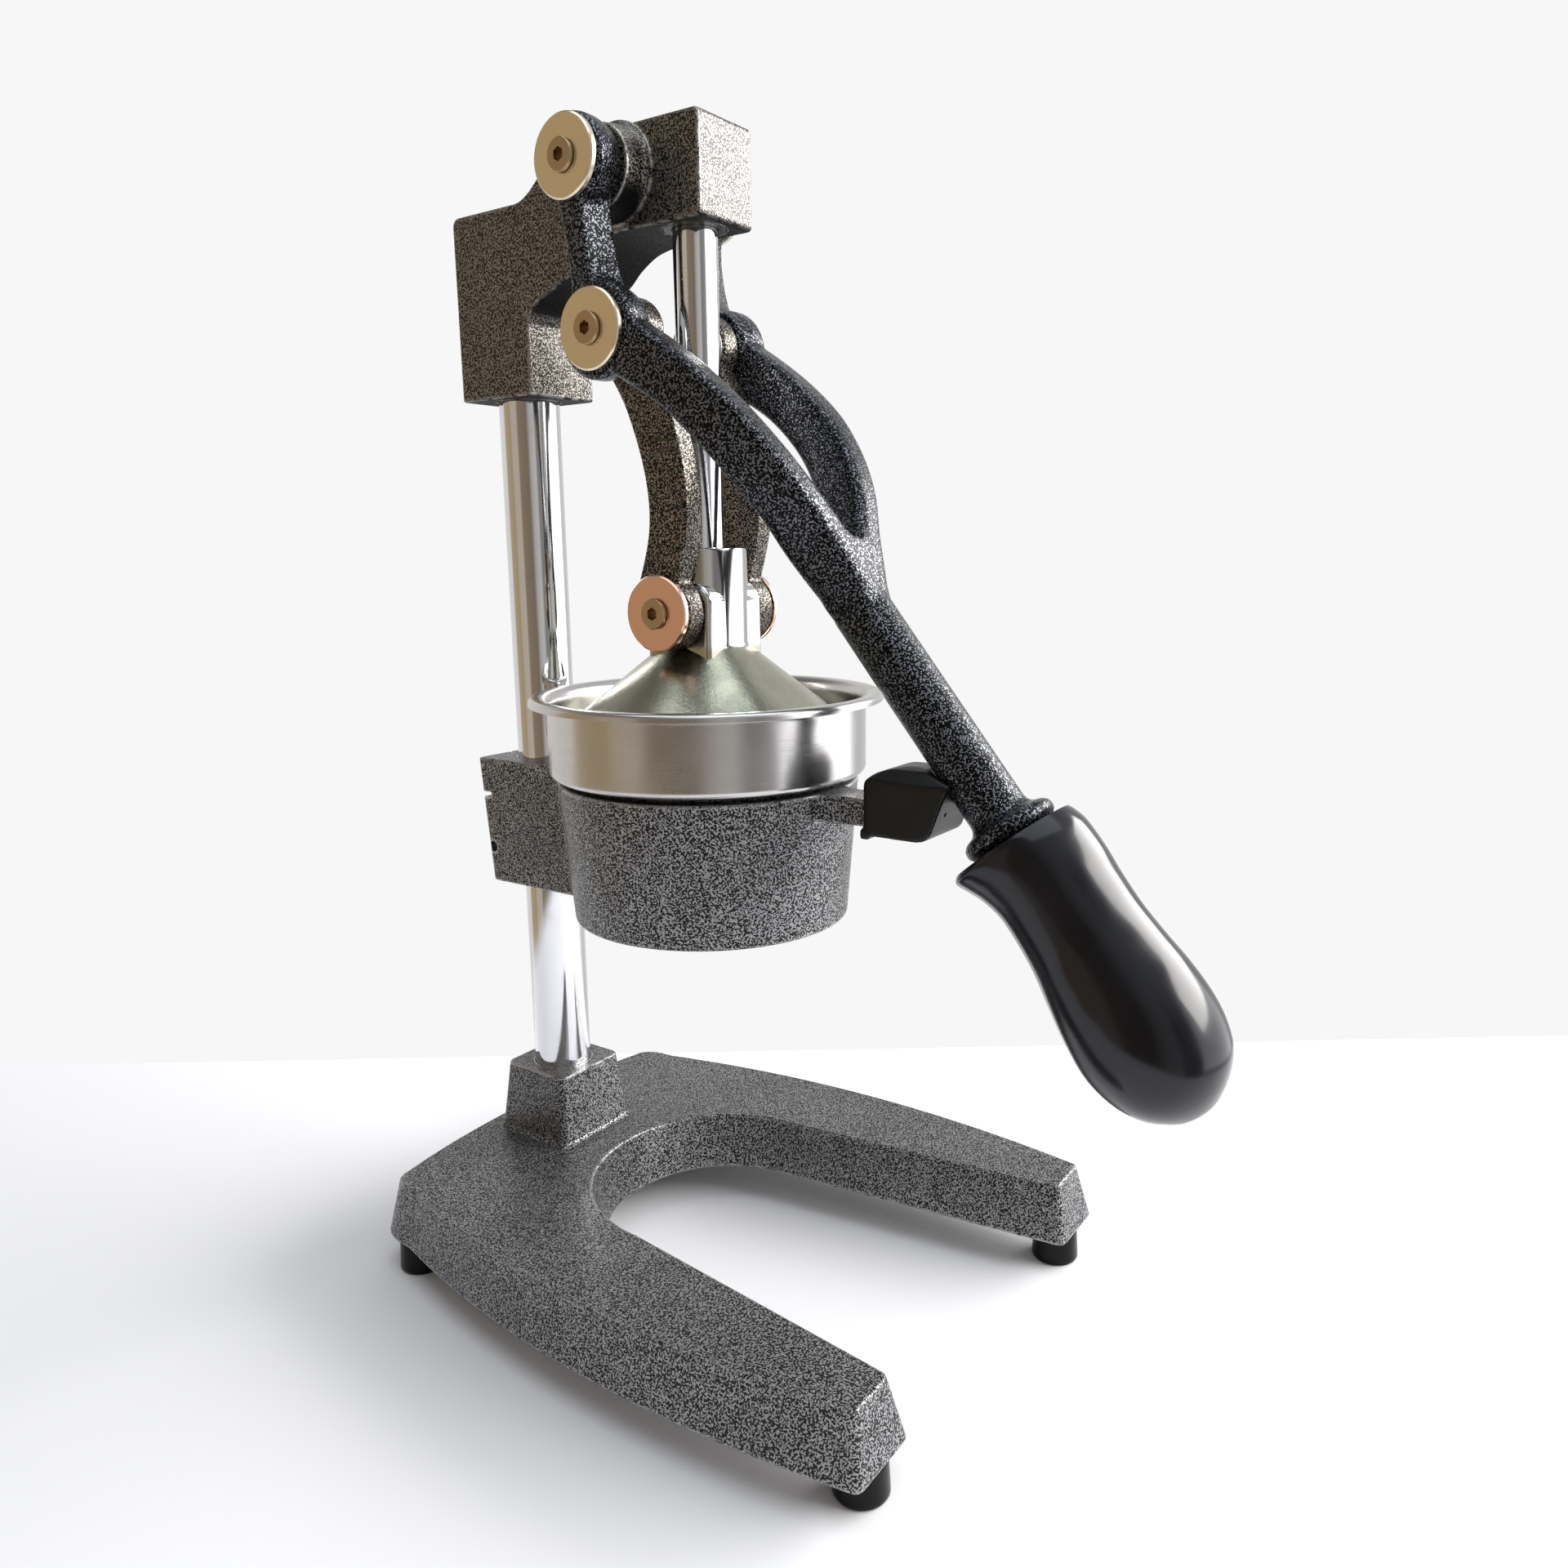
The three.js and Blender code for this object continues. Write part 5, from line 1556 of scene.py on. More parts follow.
@dataclass
class PivotCaps(Assembly):
    """Polished caps and their hexagon screws on the three pivots."""

    radius: float = 13.0
    bore: float = 2.8
    thickness: float = 2.2
    edge: float = 0.45
    back_edge: float = 0.2
    head_radius: float = 5.2
    head_height: float = 1.4
    shaft_radius: float = 2.5
    shaft_length: float = 9.0
    key_radius: float = 2.3
    key_depth: float = 3.6
    sharp: float = 26.0

    def _cap(self, face: float, pivot: Pair) -> Shape:
        """Turn the right-hand cap.

        Args:
            face: Distance from the middle plane to the face that it covers.
            pivot: Pivot that it stands on.

        Returns:
            The cap.
        """
        back = face + self.pivots.clearance
        front = back + self.thickness
        radius, edge, round_ = self.radius, self.edge, self.back_edge
        return Shape.turned([
            (self.bore, back), (radius - round_, back), (radius, back + round_),
            (radius, front - edge - 0.1), (radius - 0.08, front - edge),
            (radius - edge, front - 0.08), (radius - edge - 0.1, front), (self.bore, front),
        ], closed=True, segments=128).across(pivot)

    def _screw(self, face: float, pivot: Pair) -> Shape:
        """Turn the right-hand screw in a cap.

        Args:
            face: Distance from the middle plane to the face that the cap covers.
            pivot: Pivot that it stands on.

        Returns:
            The screw.
        """
        seat = face + 2 * self.pivots.clearance + self.thickness
        crown, foot = seat + self.head_height, face - self.shaft_length
        radius, shaft = self.head_radius, self.shaft_radius
        body = Shape.turned([
            (0, foot), (shaft, foot), (shaft, seat), (radius, seat), (radius, crown - 0.35),
            (radius - 0.15, crown - 0.1), (radius - 0.4, crown), (0, crown)], segments=64)
        key = Shape.bar(self.key_radius, crown - self.key_depth, crown + PAST, segments=6)
        return self.moulder.cut(body, key).across(pivot)

    def build(self) -> None:
        """Build the six caps and screws."""
        # The press pin's caps take the redder copy of the cap metal, a painted reflection.
        bronze, painted_reflection_finish = self.palette.bronze_cap, self.palette.press_cap
        rows = (("head_axle", self.pivots.hub_reach, self.pivots.head, bronze),
                ("crank_pin", self.pivots.hub_reach, self.pivots.mid, bronze),
                ("press_pin", self.pivots.boss_reach, self.pivots.press, painted_reflection_finish))
        for name, face, pivot, finish in rows:
            cap, screw = self._cap(face, pivot), self._screw(face, pivot)
            for side in Side:
                self.bench.set(cap.on(side), f"{name}_cap_{side.word}", finish, self.sharp)
                self.bench.set(screw.on(side), f"{name}_screw_{side.word}",
                               self.palette.cap_screw)


@dataclass
class Lever(Assembly):
    """Forked lever with its hubs, arms, shank, collar and grip.

    Attributes:
        neck_rows: Share of the way down the neck, and how far the neck flares there.
        arm_rows: Share of the way to the shank, rise and spread there as shares of the arm's
            height and the hub's place, share of the width and of the height, and squareness.
        web_rows: Share of the way to the shank, rise, half width and half height.
        grip_rows: Share of the grip's length, and its radius below and above as shares.
    """

    top_hub: float = 14.0
    top_waist: float = 12.6
    mid_hub: float = 15.6
    hub_edge: float = 1.3
    arm_height: float = 19.0
    shank_radius: float = 9.7
    slope: float = 51.3
    head_z: float = 259.0
    collar_y: float = -119.1
    collar_z: float = 187.5
    collar_radius: float = 15.6
    collar_thickness: float = 6.5
    tang_radius: float = 7.0
    tang_length: float = 60.0
    crotch_radius: float = 6.2
    crotch_share: float = 0.842
    voxel: float = 0.7
    passes: int = 3
    bore_reach: float = 41.0
    grip_radius: float = 22.9
    grip_length: float = 96.8
    grip_bore: float = 7.3
    grip_bore_depth: float = 72.3
    neck_rows: Rows = ((0, 1), (0.16, 0.6), (0.28, 0.2), (0.4, 0.02), (0.55, 0), (0.68, 0.12),
                       (0.8, 0.5), (0.92, 1), (1, 1))
    arm_rows: Rows = ((0, 0, 1, 1, 1, 2.2), (0.14, 0.28, 1, 1, 0.98, 2.6),
                      (0.3, 0.55, 0.97, 1, 0.93, 2.6), (0.46, 0.67, 0.91, 1, 0.96, 2.6),
                      (0.61, 0.647, 0.76, 1, 0.98, 2.5), (0.74, 0.518, 0.56, 1.03, 1.005, 2.2),
                      (0.87, 0.27, 0.3, 1.12, 1.06, 1.7), (1.06, 0, 0.04, 1.15, 0.92, 1))
    web_rows: Rows = ((0.84, 6.6, 9, 9.4), (0.92, 4.4, 10.4, 10), (1.0, 1.6, 10.2, 9.2),
                      (1.1, -0.4, 8, 7))
    web_squareness: float = 2.2
    grip_rows: Rows = ((0, 0.97, 0.84), (0.02, 1.02, 0.88), (0.06, 0.93, 0.93),
                       (0.11, 0.82, 0.945), (0.18, 0.735, 0.945), (0.27, 0.735, 0.92),
                       (0.38, 0.775, 0.915), (0.49, 0.87, 0.95), (0.6, 0.95, 1),
                       (0.71, 0.99, 1.01), (0.8, 0.94, 0.955), (0.88, 0.81, 0.825),
                       (0.94, 0.62, 0.6), (0.985, 0.34, 0.31), (1, 0.12, 0.1))

    @property
    def axis(self) -> Vector:
        """Return the direction of the shank, towards the grip."""
        slope = math.radians(self.slope)
        return Vector((0, -math.cos(slope), -math.sin(slope)))

    @property
    def up(self) -> Vector:
        """Return the direction of the shank's upper side."""
        slope = math.radians(self.slope)
        return Vector((0, -math.sin(slope), math.cos(slope)))

    @property
    def collar(self) -> Vector:
        """Return the middle of the collar."""
        return Vector((0, self.collar_y, self.collar_z))

    @property
    def shank_length(self) -> float:
        """Return the length of the shank from the fork to the collar."""
        return (self.head_z - self.collar_z) / math.sin(math.radians(self.slope))

    @property
    def inner(self) -> float:
        """Return the distance from the middle plane to the fork's inner faces."""
        return self.pivots.boss_reach + self.pivots.clearance

    @property
    def outer(self) -> float:
        """Return the distance from the middle plane to the fork's outer faces."""
        return self.pivots.hub_reach

    @staticmethod
    def _raised(line: Vector) -> Vector:
        """Find the upward direction at right angles to a line.

        Args:
            line: Line in the middle plane.

        Returns:
            The direction, one unit long.
        """
        up = Vector((0, line.z, -line.y)).normalized()
        if up.z < 0:
            up.negate()
        return up

    def _spot(self, along: float, rise: float, unit: float = 1, side: float = 0) -> Vector:
        """Find a place by the line from the middle hub to the shank.

        Args:
            along: Share of the way to the shank.
            rise: Height above the line, in units.
            unit: The unit, in millimetres.
            side: Distance from the middle plane.

        Returns:
            The place.
        """
        start = Vector((0, *self.pivots.mid))
        line = self.collar - self.axis * self.shank_length - start
        return start + line * along + self._raised(line) * rise * unit + Vector((side, 0, 0))

    @staticmethod
    def _finer(stations: Sequence[Station], steps: int = 5) -> list[Station]:
        """Add stations on smooth curves through the given ones.

        Args:
            stations: Stations in order.
            steps: How many come from each.

        Returns:
            The finer row.
        """
        finer = []
        for index in range(len(stations) - 1):
            four = around(stations, index)
            for step in range(steps):
                share = step / steps
                finer.append(Station(
                    between([one.place for one in four], share),
                    between([one.up for one in four], share).normalized(),
                    between([one.half_width for one in four], share),
                    between([one.half_height for one in four], share),
                    between([one.squareness for one in four], share)))
        return [*finer, stations[-1]]

    def _hub(self, outer: float, waist: float, pivot: Pair) -> Shape:
        """Turn a right-hand hub.

        Args:
            outer: Its radius at the outer face.
            waist: Its radius at the inner face.
            pivot: Pivot that it stands on.

        Returns:
            The hub.
        """
        low, high, edge = self.inner, self.outer, self.hub_edge
        return Shape.turned([(0, low), (waist - edge, low), (waist, low + edge),
                             (outer, (low + high) / 2), (outer, high - edge),
                             (outer - edge, high), (0, high)]).across(pivot)

    def _neck(self) -> Shape:
        """Loft the right-hand neck between the two hubs, whose front face leans back.

        Returns:
            The neck.
        """
        low, high = self.inner, self.outer
        top, bottom = Vector(self.pivots.head), Vector(self.pivots.mid)
        down = (bottom - top).normalized()
        rear = Vector((-down.y, down.x))
        loops = []
        for along, flare in self.neck_rows:
            middle = top.lerp(bottom, along)
            corners = ((high, -0.9 - 6 * flare), (high, 7 + 1.5 * flare),
                       (low, 7.6 + 1.5 * flare), (low, -4.6 - 4 * flare))
            loops.append([Vector((x, *(middle + rear * shift))) for x, shift in corners])
        return Shape.loft(loops).bevelled(self.hub_edge, 3, 30)

    def _arm(self) -> Shape:
        """Sweep the right-hand arm from the middle hub to the shank.

        Returns:
            The arm.
        """
        low, high = self.inner, self.outer
        places = [self._spot(along, rise, self.arm_height, spread * ((low + high) / 2))
                  for along, rise, spread, *_ in self.arm_rows]
        stations = []
        for index, (_, _, _, width, height, squareness) in enumerate(self.arm_rows):
            after = places[min(index + 1, len(places) - 1)]
            up = self._raised(after - places[max(index - 1, 0)])
            stations.append(Station(places[index], up, width * (high - low) / 2,
                                    height * self.arm_height / 2, squareness))
        return Shape.swept(self._finer(stations), 48)

    def _web(self) -> Shape:
        """Sweep the metal that joins the arms, with the round crotch between them.

        Returns:
            The web.
        """
        up = (self._spot(0, 1) - self._spot(0, 0)).normalized()
        web = Shape.swept(self._finer([
            Station(self._spot(along, rise), up, width, height, self.web_squareness)
            for along, rise, width, height in self.web_rows]))
        tool = Shape.bar(self.crotch_radius, -30, 30, segments=48)
        return self.moulder.cut(web, tool.aimed(up, self._spot(self.crotch_share, 0)))

    def _stem(self) -> Shape:
        """Turn the shank with its collar and the tang inside the grip.

        Returns:
            The stem.
        """
        end, half = -self.shank_length, self.collar_thickness / 2
        radius, collar, tang = self.shank_radius, self.collar_radius, self.tang_radius
        stem = Shape.turned([
            (0, end - radius), (radius / 2, end - radius * 0.9), (radius, end + radius / 2),
            (radius, -half - 2.5), (radius + 1.2, -half - 0.6), (collar - 3.2, -half),
            (collar - 1.4, -half + 0.6), (collar, -half + 2.2), (collar, half - 1.8),
            (collar - 1.8, half), (tang, half), (tang, self.tang_length),
            (0, self.tang_length)])
        return stem.aimed(self.axis, self.collar)

    def casting(self) -> None:
        """Cast the fork, shank and collar and bore the hubs."""
        side = [self._hub(self.top_hub, self.top_waist, self.pivots.head),
                self._hub(self.mid_hub, self.mid_hub - self.hub_edge, self.pivots.mid),
                self._neck(), self._arm()]
        shells = [*[part.with_mirror() for part in side], self._stem(), self._web()]
        casting = self.moulder.cast(shells, self.voxel, self.passes)
        near, far = self.pivots.boss_reach - 1, self.bore_reach
        bores = [Shape.bar(self.pivots.bush_bore, start, end).across(pivot)
                 for pivot in (self.pivots.head, self.pivots.mid)
                 for start, end in ((near, far), (-far, -near))]
        self.bench.set(self.moulder.cut(casting, *bores), "lever_casting",
                       self.palette.arm_enamel)

    def grip(self) -> None:
        """Mould the grip, with its finger lip and its bulb."""
        top, points = self.collar_thickness / 2 + self.pivots.clearance, 72
        lower, upper = (
            Outline(*rows[0]).spline(rows, 6).points
            for rows in ([(row[0], row[side]) for row in self.grip_rows] for side in (1, 2)))
        loops = []
        for (along, under), (_, over) in zip(lower, upper):
            middle = self.collar + self.axis * (top + along * self.grip_length)
            loop = []
            for step in range(points):
                angle = math.tau * step / points
                blend = ((1 - math.cos(angle)) / 2) ** 1.5
                radius = self.grip_radius * (over + (under - over) * blend)
                loop.append(middle + self.up * radius * math.cos(angle)
                            + Vector((radius * math.sin(angle), 0, 0)))
            loops.append(loop)
        bore = Shape.bar(self.grip_bore, top - PAST, self.grip_bore_depth, segments=48)
        grip = self.moulder.cut(Shape.loft(loops), bore.aimed(self.axis, self.collar))
        self.bench.set(grip, "lever_grip", self.palette.grip, 50)

    def build(self) -> None:
        """Build the lever and dress its hidden pins and bushes."""
        self.casting()
        self.grip()
        for side in Side:
            self.bench.dress(self.palette.bush_bronze, f"lever_top_bush_{side.word}",
                             f"crank_bush_{side.word}")
            self.bench.dress(self.palette.pin_steel, f"crank_pin_{side.word}")


@dataclass
class Links(Assembly):
    """Pair of bowed links between the lever and the press head.

    Attributes:
        front_spots: Share of the way up the front edge, and the share of the bow there.
        back_spots: Share of the way up the rear edge, downwards, and the share of the bow.
    """

    thickness: float = 8.5
    width: float = 18.4
    bow: float = 10.5
    edge: float = 1.4
    top_eye: float = 12.6
    bottom_eye: float = 12.9
    flange: float = 11.6
    flange_depth: float = 0.9
    bush_radius: float = 7.9
    sharp: float = 26.0
    front_spots: Rows = ((0.3, 0.72), (0.5, 0.87), (0.72, 0.6))
    back_spots: Rows = ((0.74, 0.62), (0.5, 1), (0.3, 0.84))

    def _side(self) -> list[Pair]:
        """Draw the side view of a link.

        Returns:
            The closed outline as (Y, Z).
        """
        low, high = Vector(self.pivots.press), Vector(self.pivots.mid)
        chord = high - low
        along = chord.normalized()
        forward = Vector((-along.y, along.x))
        heading = math.atan2(along.y, along.x)
        half = self.width / 2

        def spots(rows: Rows, edge: float) -> list[Pair]:
            """Return places on an edge, which is so far forward of the middle."""
            return [tuple(low + chord * share + forward * (edge + self.bow * bow))
                    for share, bow in rows]

        def eye(centre: Vector, radius: float, angle: float) -> Pair:
            """Return a place on an eye's rim."""
            return (centre.x + radius * math.cos(angle), centre.y + radius * math.sin(angle))

        lower = math.asin(half / self.bottom_eye)
        upper = math.asin(half / self.top_eye)
        start = eye(low, self.bottom_eye, heading - lower)
        side = Outline(*start)
        side.arc(tuple(low), self.bottom_eye, heading - lower, heading + lower - math.tau, 48)
        top_front = eye(high, self.top_eye, heading + math.pi - upper)
        side.spline([side.points[-1], *spots(self.front_spots, half), top_front])
        side.arc(tuple(high), self.top_eye, heading + math.pi - upper,
                 heading - math.pi + upper, 48)
        side.spline([side.points[-1], *spots(self.back_spots, -half), start])
        return side.points[:-1]

    def build(self) -> None:
        """Build both links and dress their bushes."""
        inner = self.pivots.ear_reach + self.pivots.clearance
        outer = inner + self.thickness
        body = Shape.prism(self._side(), inner, outer).sideways().bevelled(self.edge, 3, 50)
        bores = [Shape.bar(self.pivots.bush_bore, inner - PAST, outer + PAST).across(pivot)
                 for pivot in (self.pivots.mid, self.pivots.press)]
        link = self.moulder.cut(body, *bores)
        bore, flange, face = self.pivots.pin_bore, self.flange, inner - 0.05
        flanged = Shape.turned([
            (bore, inner - self.flange_depth), (flange - 0.5, inner - self.flange_depth),
            (flange, inner - 0.5), (flange, face), (self.bush_radius, face),
            (self.bush_radius, outer), (bore, outer)], closed=True).across(self.pivots.mid)
        for side in Side:
            self.bench.set(link.on(side), f"link_{side.word}", self.palette.link_enamel)
            self.bench.set(flanged.on(side), f"link_top_bush_{side.word}",
                           self.palette.pin_steel, self.sharp)
            self.bench.dress(self.palette.bush_bronze, f"link_bottom_bush_{side.word}")


@dataclass
class Plunger(Assembly):
    """Rod and press head."""

    rod_radius: float = 7.65
    rod_low: float = 247.3
    rod_high: float = 409.3
    sleeve_radius: float = 15.5
    sleeve_top: float = 275.0
    cone_slope: float = 38.2
    neck_z: float = 241.0
    radius: float = 50.2
    bottom_z: float = 207.5
    wall: float = 4.6
    vault_radius: float = 9.0
    ear_half_width: float = 14.2
    ear_top: float = 263.2
    ear_corner: float = 7.5
    ear_edge: float = 2.2
    pin_depth: float = 8.6
    set_screw_bore: float = 2.8
    set_screw_z: float = 269.0

    def _cone(self, radius: float, sink: float = 0) -> Pair:
        """Find the cone's place at a radius.

        Args:
            radius: The radius.
            sink: How far under the cone's outside.

        Returns:
            The place, as radius and height.
        """
        height = self.neck_z - (radius - self.sleeve_radius) * math.tan(
            math.radians(self.cone_slope))
        return radius, height - sink

    @property
    def drop(self) -> float:
        """Return the upright distance between the two sides of the cone's wall."""
        return self.wall / math.cos(math.radians(self.cone_slope))

    def _ears(self) -> Shape:
        """Make the block of the two ears.

        Returns:
            The block.
        """
        half, corner, reach = self.ear_half_width, self.ear_corner, self.pivots.ear_reach
        foot = self._cone(math.hypot(reach, half), self.drop / 2)[1]
        side = Outline(half, foot)
        turn, shoulder = half - corner, self.ear_top - corner
        side.arc((turn, shoulder), corner, 0, math.pi / 2, 12)
        side.arc((-turn, shoulder), corner, math.pi / 2, math.pi, 12)
        side.line(-half, foot)
        return Shape.prism(side.points, -reach, reach).sideways().bevelled(self.ear_edge, 4, 50)

    def press_head(self) -> None:
        """Turn the press head, add its ears and hollow it out."""
        low, rim, neck, top = self.bottom_z, self.radius, self.sleeve_radius, self.sleeve_top
        cavity, vault = self.radius - self.wall, self._cone(self.vault_radius, self.drop)
        body = Shape.turned([
            (0, low), (rim - 2.3, low), (rim - 0.7, low + 0.6), (rim, low + 2.3),
            self._cone(rim, 0.6), self._cone(rim - 0.7), self._cone(neck + 1.2),
            (neck + 0.2, self.neck_z + 0.3), (neck, self.neck_z + 1.4), (neck, top - 1),
            (neck - 0.3, top - 0.3), (neck - 1, top), (0, top)], segments=160)
        hollow = Shape.turned([(0, low - PAST), (cavity, low - PAST),
                               self._cone(cavity, self.drop), vault, (0, vault[1])])
        gap = self.pivots.clearance
        bores = [hollow, Shape.bar(self.rod_radius + gap, self.rod_low - gap, top + PAST)]
        for side in Side:
            pin = Shape.bar(self.pivots.pin_bore, self.pin_depth, self.pivots.ear_reach + PAST,
                            segments=48)
            bores.append(pin.across(self.pivots.press).on(side))
        screw = Shape.bar(self.set_screw_bore, -neck - PAST, -self.rod_radius, segments=32)
        bores.append(screw.forwards().moved(0, 0, self.set_screw_z))
        head = self.moulder.cut(self.moulder.united(body, self._ears()), *bores)
        self.bench.set(head, "press_head", self.palette.press_metal, 32)

    def build(self) -> None:
        """Build the plunger and dress its pins."""
        rod = Shape.bar(self.rod_radius, self.rod_low, self.rod_high, 1)
        self.bench.set(rod, "plunger_rod", self.palette.chrome)
        self.press_head()
        self.bench.dress(self.palette.fastener, "press_set_screw")
        self.bench.dress(self.palette.pin_steel, "press_pin_left", "press_pin_right")


@dataclass
class JuiceCup(Assembly):
    """Pressed cup with its rolled rim and funnel, and the strainer cone in it.

    Attributes:
        cone_rows: Share of the strainer cone's height, and of its radius there.
    """

    rim_radius: float = 63.6
    rim_z: float = 224.2
    radius: float = 57.35
    floor_z: float = 194.2
    wall: float = 1.2
    step_radius: float = 47.6
    step_depth: float = 7.0
    spout_radius: float = 11.0
    spout_length: float = 15.0
    funnel_drop: float = 20.0
    skirt_radius: float = 54.0
    skirt_rise: float = 1.9
    sharp: float = 55.0
    strainer_z: float = 195.1
    flange_radius: float = 52.6
    flange_thickness: float = 1.6
    ribs: int = 12
    rib_depth: float = 1.5
    cone_foot: float = 0.8
    cone_height: float = 37.0
    cone_radius: float = 39.0
    cone_rows: Rows = ((0, 1), (0.26, 0.97), (0.42, 0.84), (0.62, 0.62), (0.8, 0.4),
                       (0.92, 0.22), (0.985, 0.1))
    hollow_radius: float = 35.0
    hollow_low: float = 9.0
    hollow_high: float = 29.0
    slot_inner: float = 41.0
    slot_outer: float = 46.6
    slot_half_width: float = 2.5

    def _sheet(self, line: Sequence[Pair]) -> list[Pair]:
        """Give a line the thickness of the sheet.

        Args:
            line: Points along the middle of the sheet.

        Returns:
            The closed section.
        """
        points = [Vector(point) for point in line]
        outer, inner = [], []
        for index, point in enumerate(points):
            before, _, after, _ = around(points, index)
            along = (after - before).normalized()
            side = Vector((along.y, -along.x)) * self.wall / 2
            outer.append(tuple(point + side))
            inner.append(tuple(point - side))
        return outer + inner[::-1]

    def cup(self) -> None:
        """Spin the cup from one section of sheet."""
        wall, edge = self.radius - self.wall / 2, self.rim_radius - self.wall / 2
        spout, step, floor = self.spout_radius, self.step_radius, self.floor_z
        foot = floor - self.step_depth
        funnel = foot - self.funnel_drop
        skirt, rim = floor + self.skirt_rise, self.rim_z - self.wall / 2
        line = Outline(spout - 1.2, funnel - self.spout_length).line(spout - 0.2, funnel - 1)
        line.bend((spout, funnel), (spout + 1.8, funnel + 1), 4).line(step - 1.5, foot - 0.8)
        line.bend((step, foot), (step, foot + 1.5), 4).line(step, floor - 1.4)
        line.bend((step, floor), (step + 1.4, floor), 5)
        line.line(self.skirt_radius - self.skirt_rise, floor).line(self.skirt_radius, skirt)
        line.line(wall - 2, skirt).bend((wall, skirt), (wall, skirt + 2), 6)
        line.line(wall, rim - 4.4).bend((wall, rim), (wall + 3.6, rim), 8)
        line.line(edge - 1.7, rim).bend((edge, rim), (edge, rim - 1.4), 6)
        line.line(edge, rim - 2.2)
        cup = Shape.turned(self._sheet(line.points), closed=True, segments=160)
        self.bench.set(cup, "juice_cup", self.palette.cup_steel, self.sharp)

    def _cone(self) -> Shape:
        """Shape the ribbed cone from rings, with waves that grow from its foot.

        Returns:
            The cone.
        """
        cone = Shape()
        rings = []
        curve = Outline(*self.cone_rows[0]).spline(self.cone_rows, 5)
        for rise, share in curve.points:
            radius = self.cone_radius * share
            verts, ring = cone.ring(self.ribs * 12, radius)
            grown = min(rise / self.cone_rows[1][0], 1)
            for vert in verts:
                wave = (1 - math.cos(self.ribs * math.atan2(vert.co.y, vert.co.x))) / 2
                vert.co *= 1 - self.rib_depth * grown * wave * math.sqrt(share) / radius
                vert.co.z = self.strainer_z + self.cone_foot + rise * self.cone_height
            rings.append(ring)
        return cone.skinned(rings)

    def strainer(self) -> None:
        """Set the ribbed cone on its slotted flange and hollow it out."""
        floor = self.strainer_z
        flange = Shape.bar(self.flange_radius, floor, floor + self.flange_thickness, 0.3, 160)
        wide, high = self.hollow_radius, floor + self.hollow_high
        hollow = Shape.turned([(0, floor - PAST), (wide, floor - PAST),
                               (wide, floor + self.hollow_low), (4, high), (0, high)])
        half = self.slot_half_width
        slots = [Shape.block((self.slot_inner, -half, floor - PAST),
                             (self.slot_outer, half, floor + 2 * PAST))
                 .placed(Matrix.Rotation(math.tau * index / self.ribs, 4, "Z"))
                 for index in range(self.ribs)]
        body = self.moulder.united(self._cone(), flange)
        self.bench.set(self.moulder.cut(body, hollow, *slots), "strainer_cone",
                       self.palette.aluminium)

    def build(self) -> None:
        """Build the cup and the strainer."""
        self.cup()
        self.strainer()


@dataclass(frozen=True)
class Lamp:
    """Rectangular lamp, with its place and aim, its size in metres and its power in watts."""

    name: str
    place: Triple
    aim: Triple
    size: Pair
    power: float
    colour: Triple


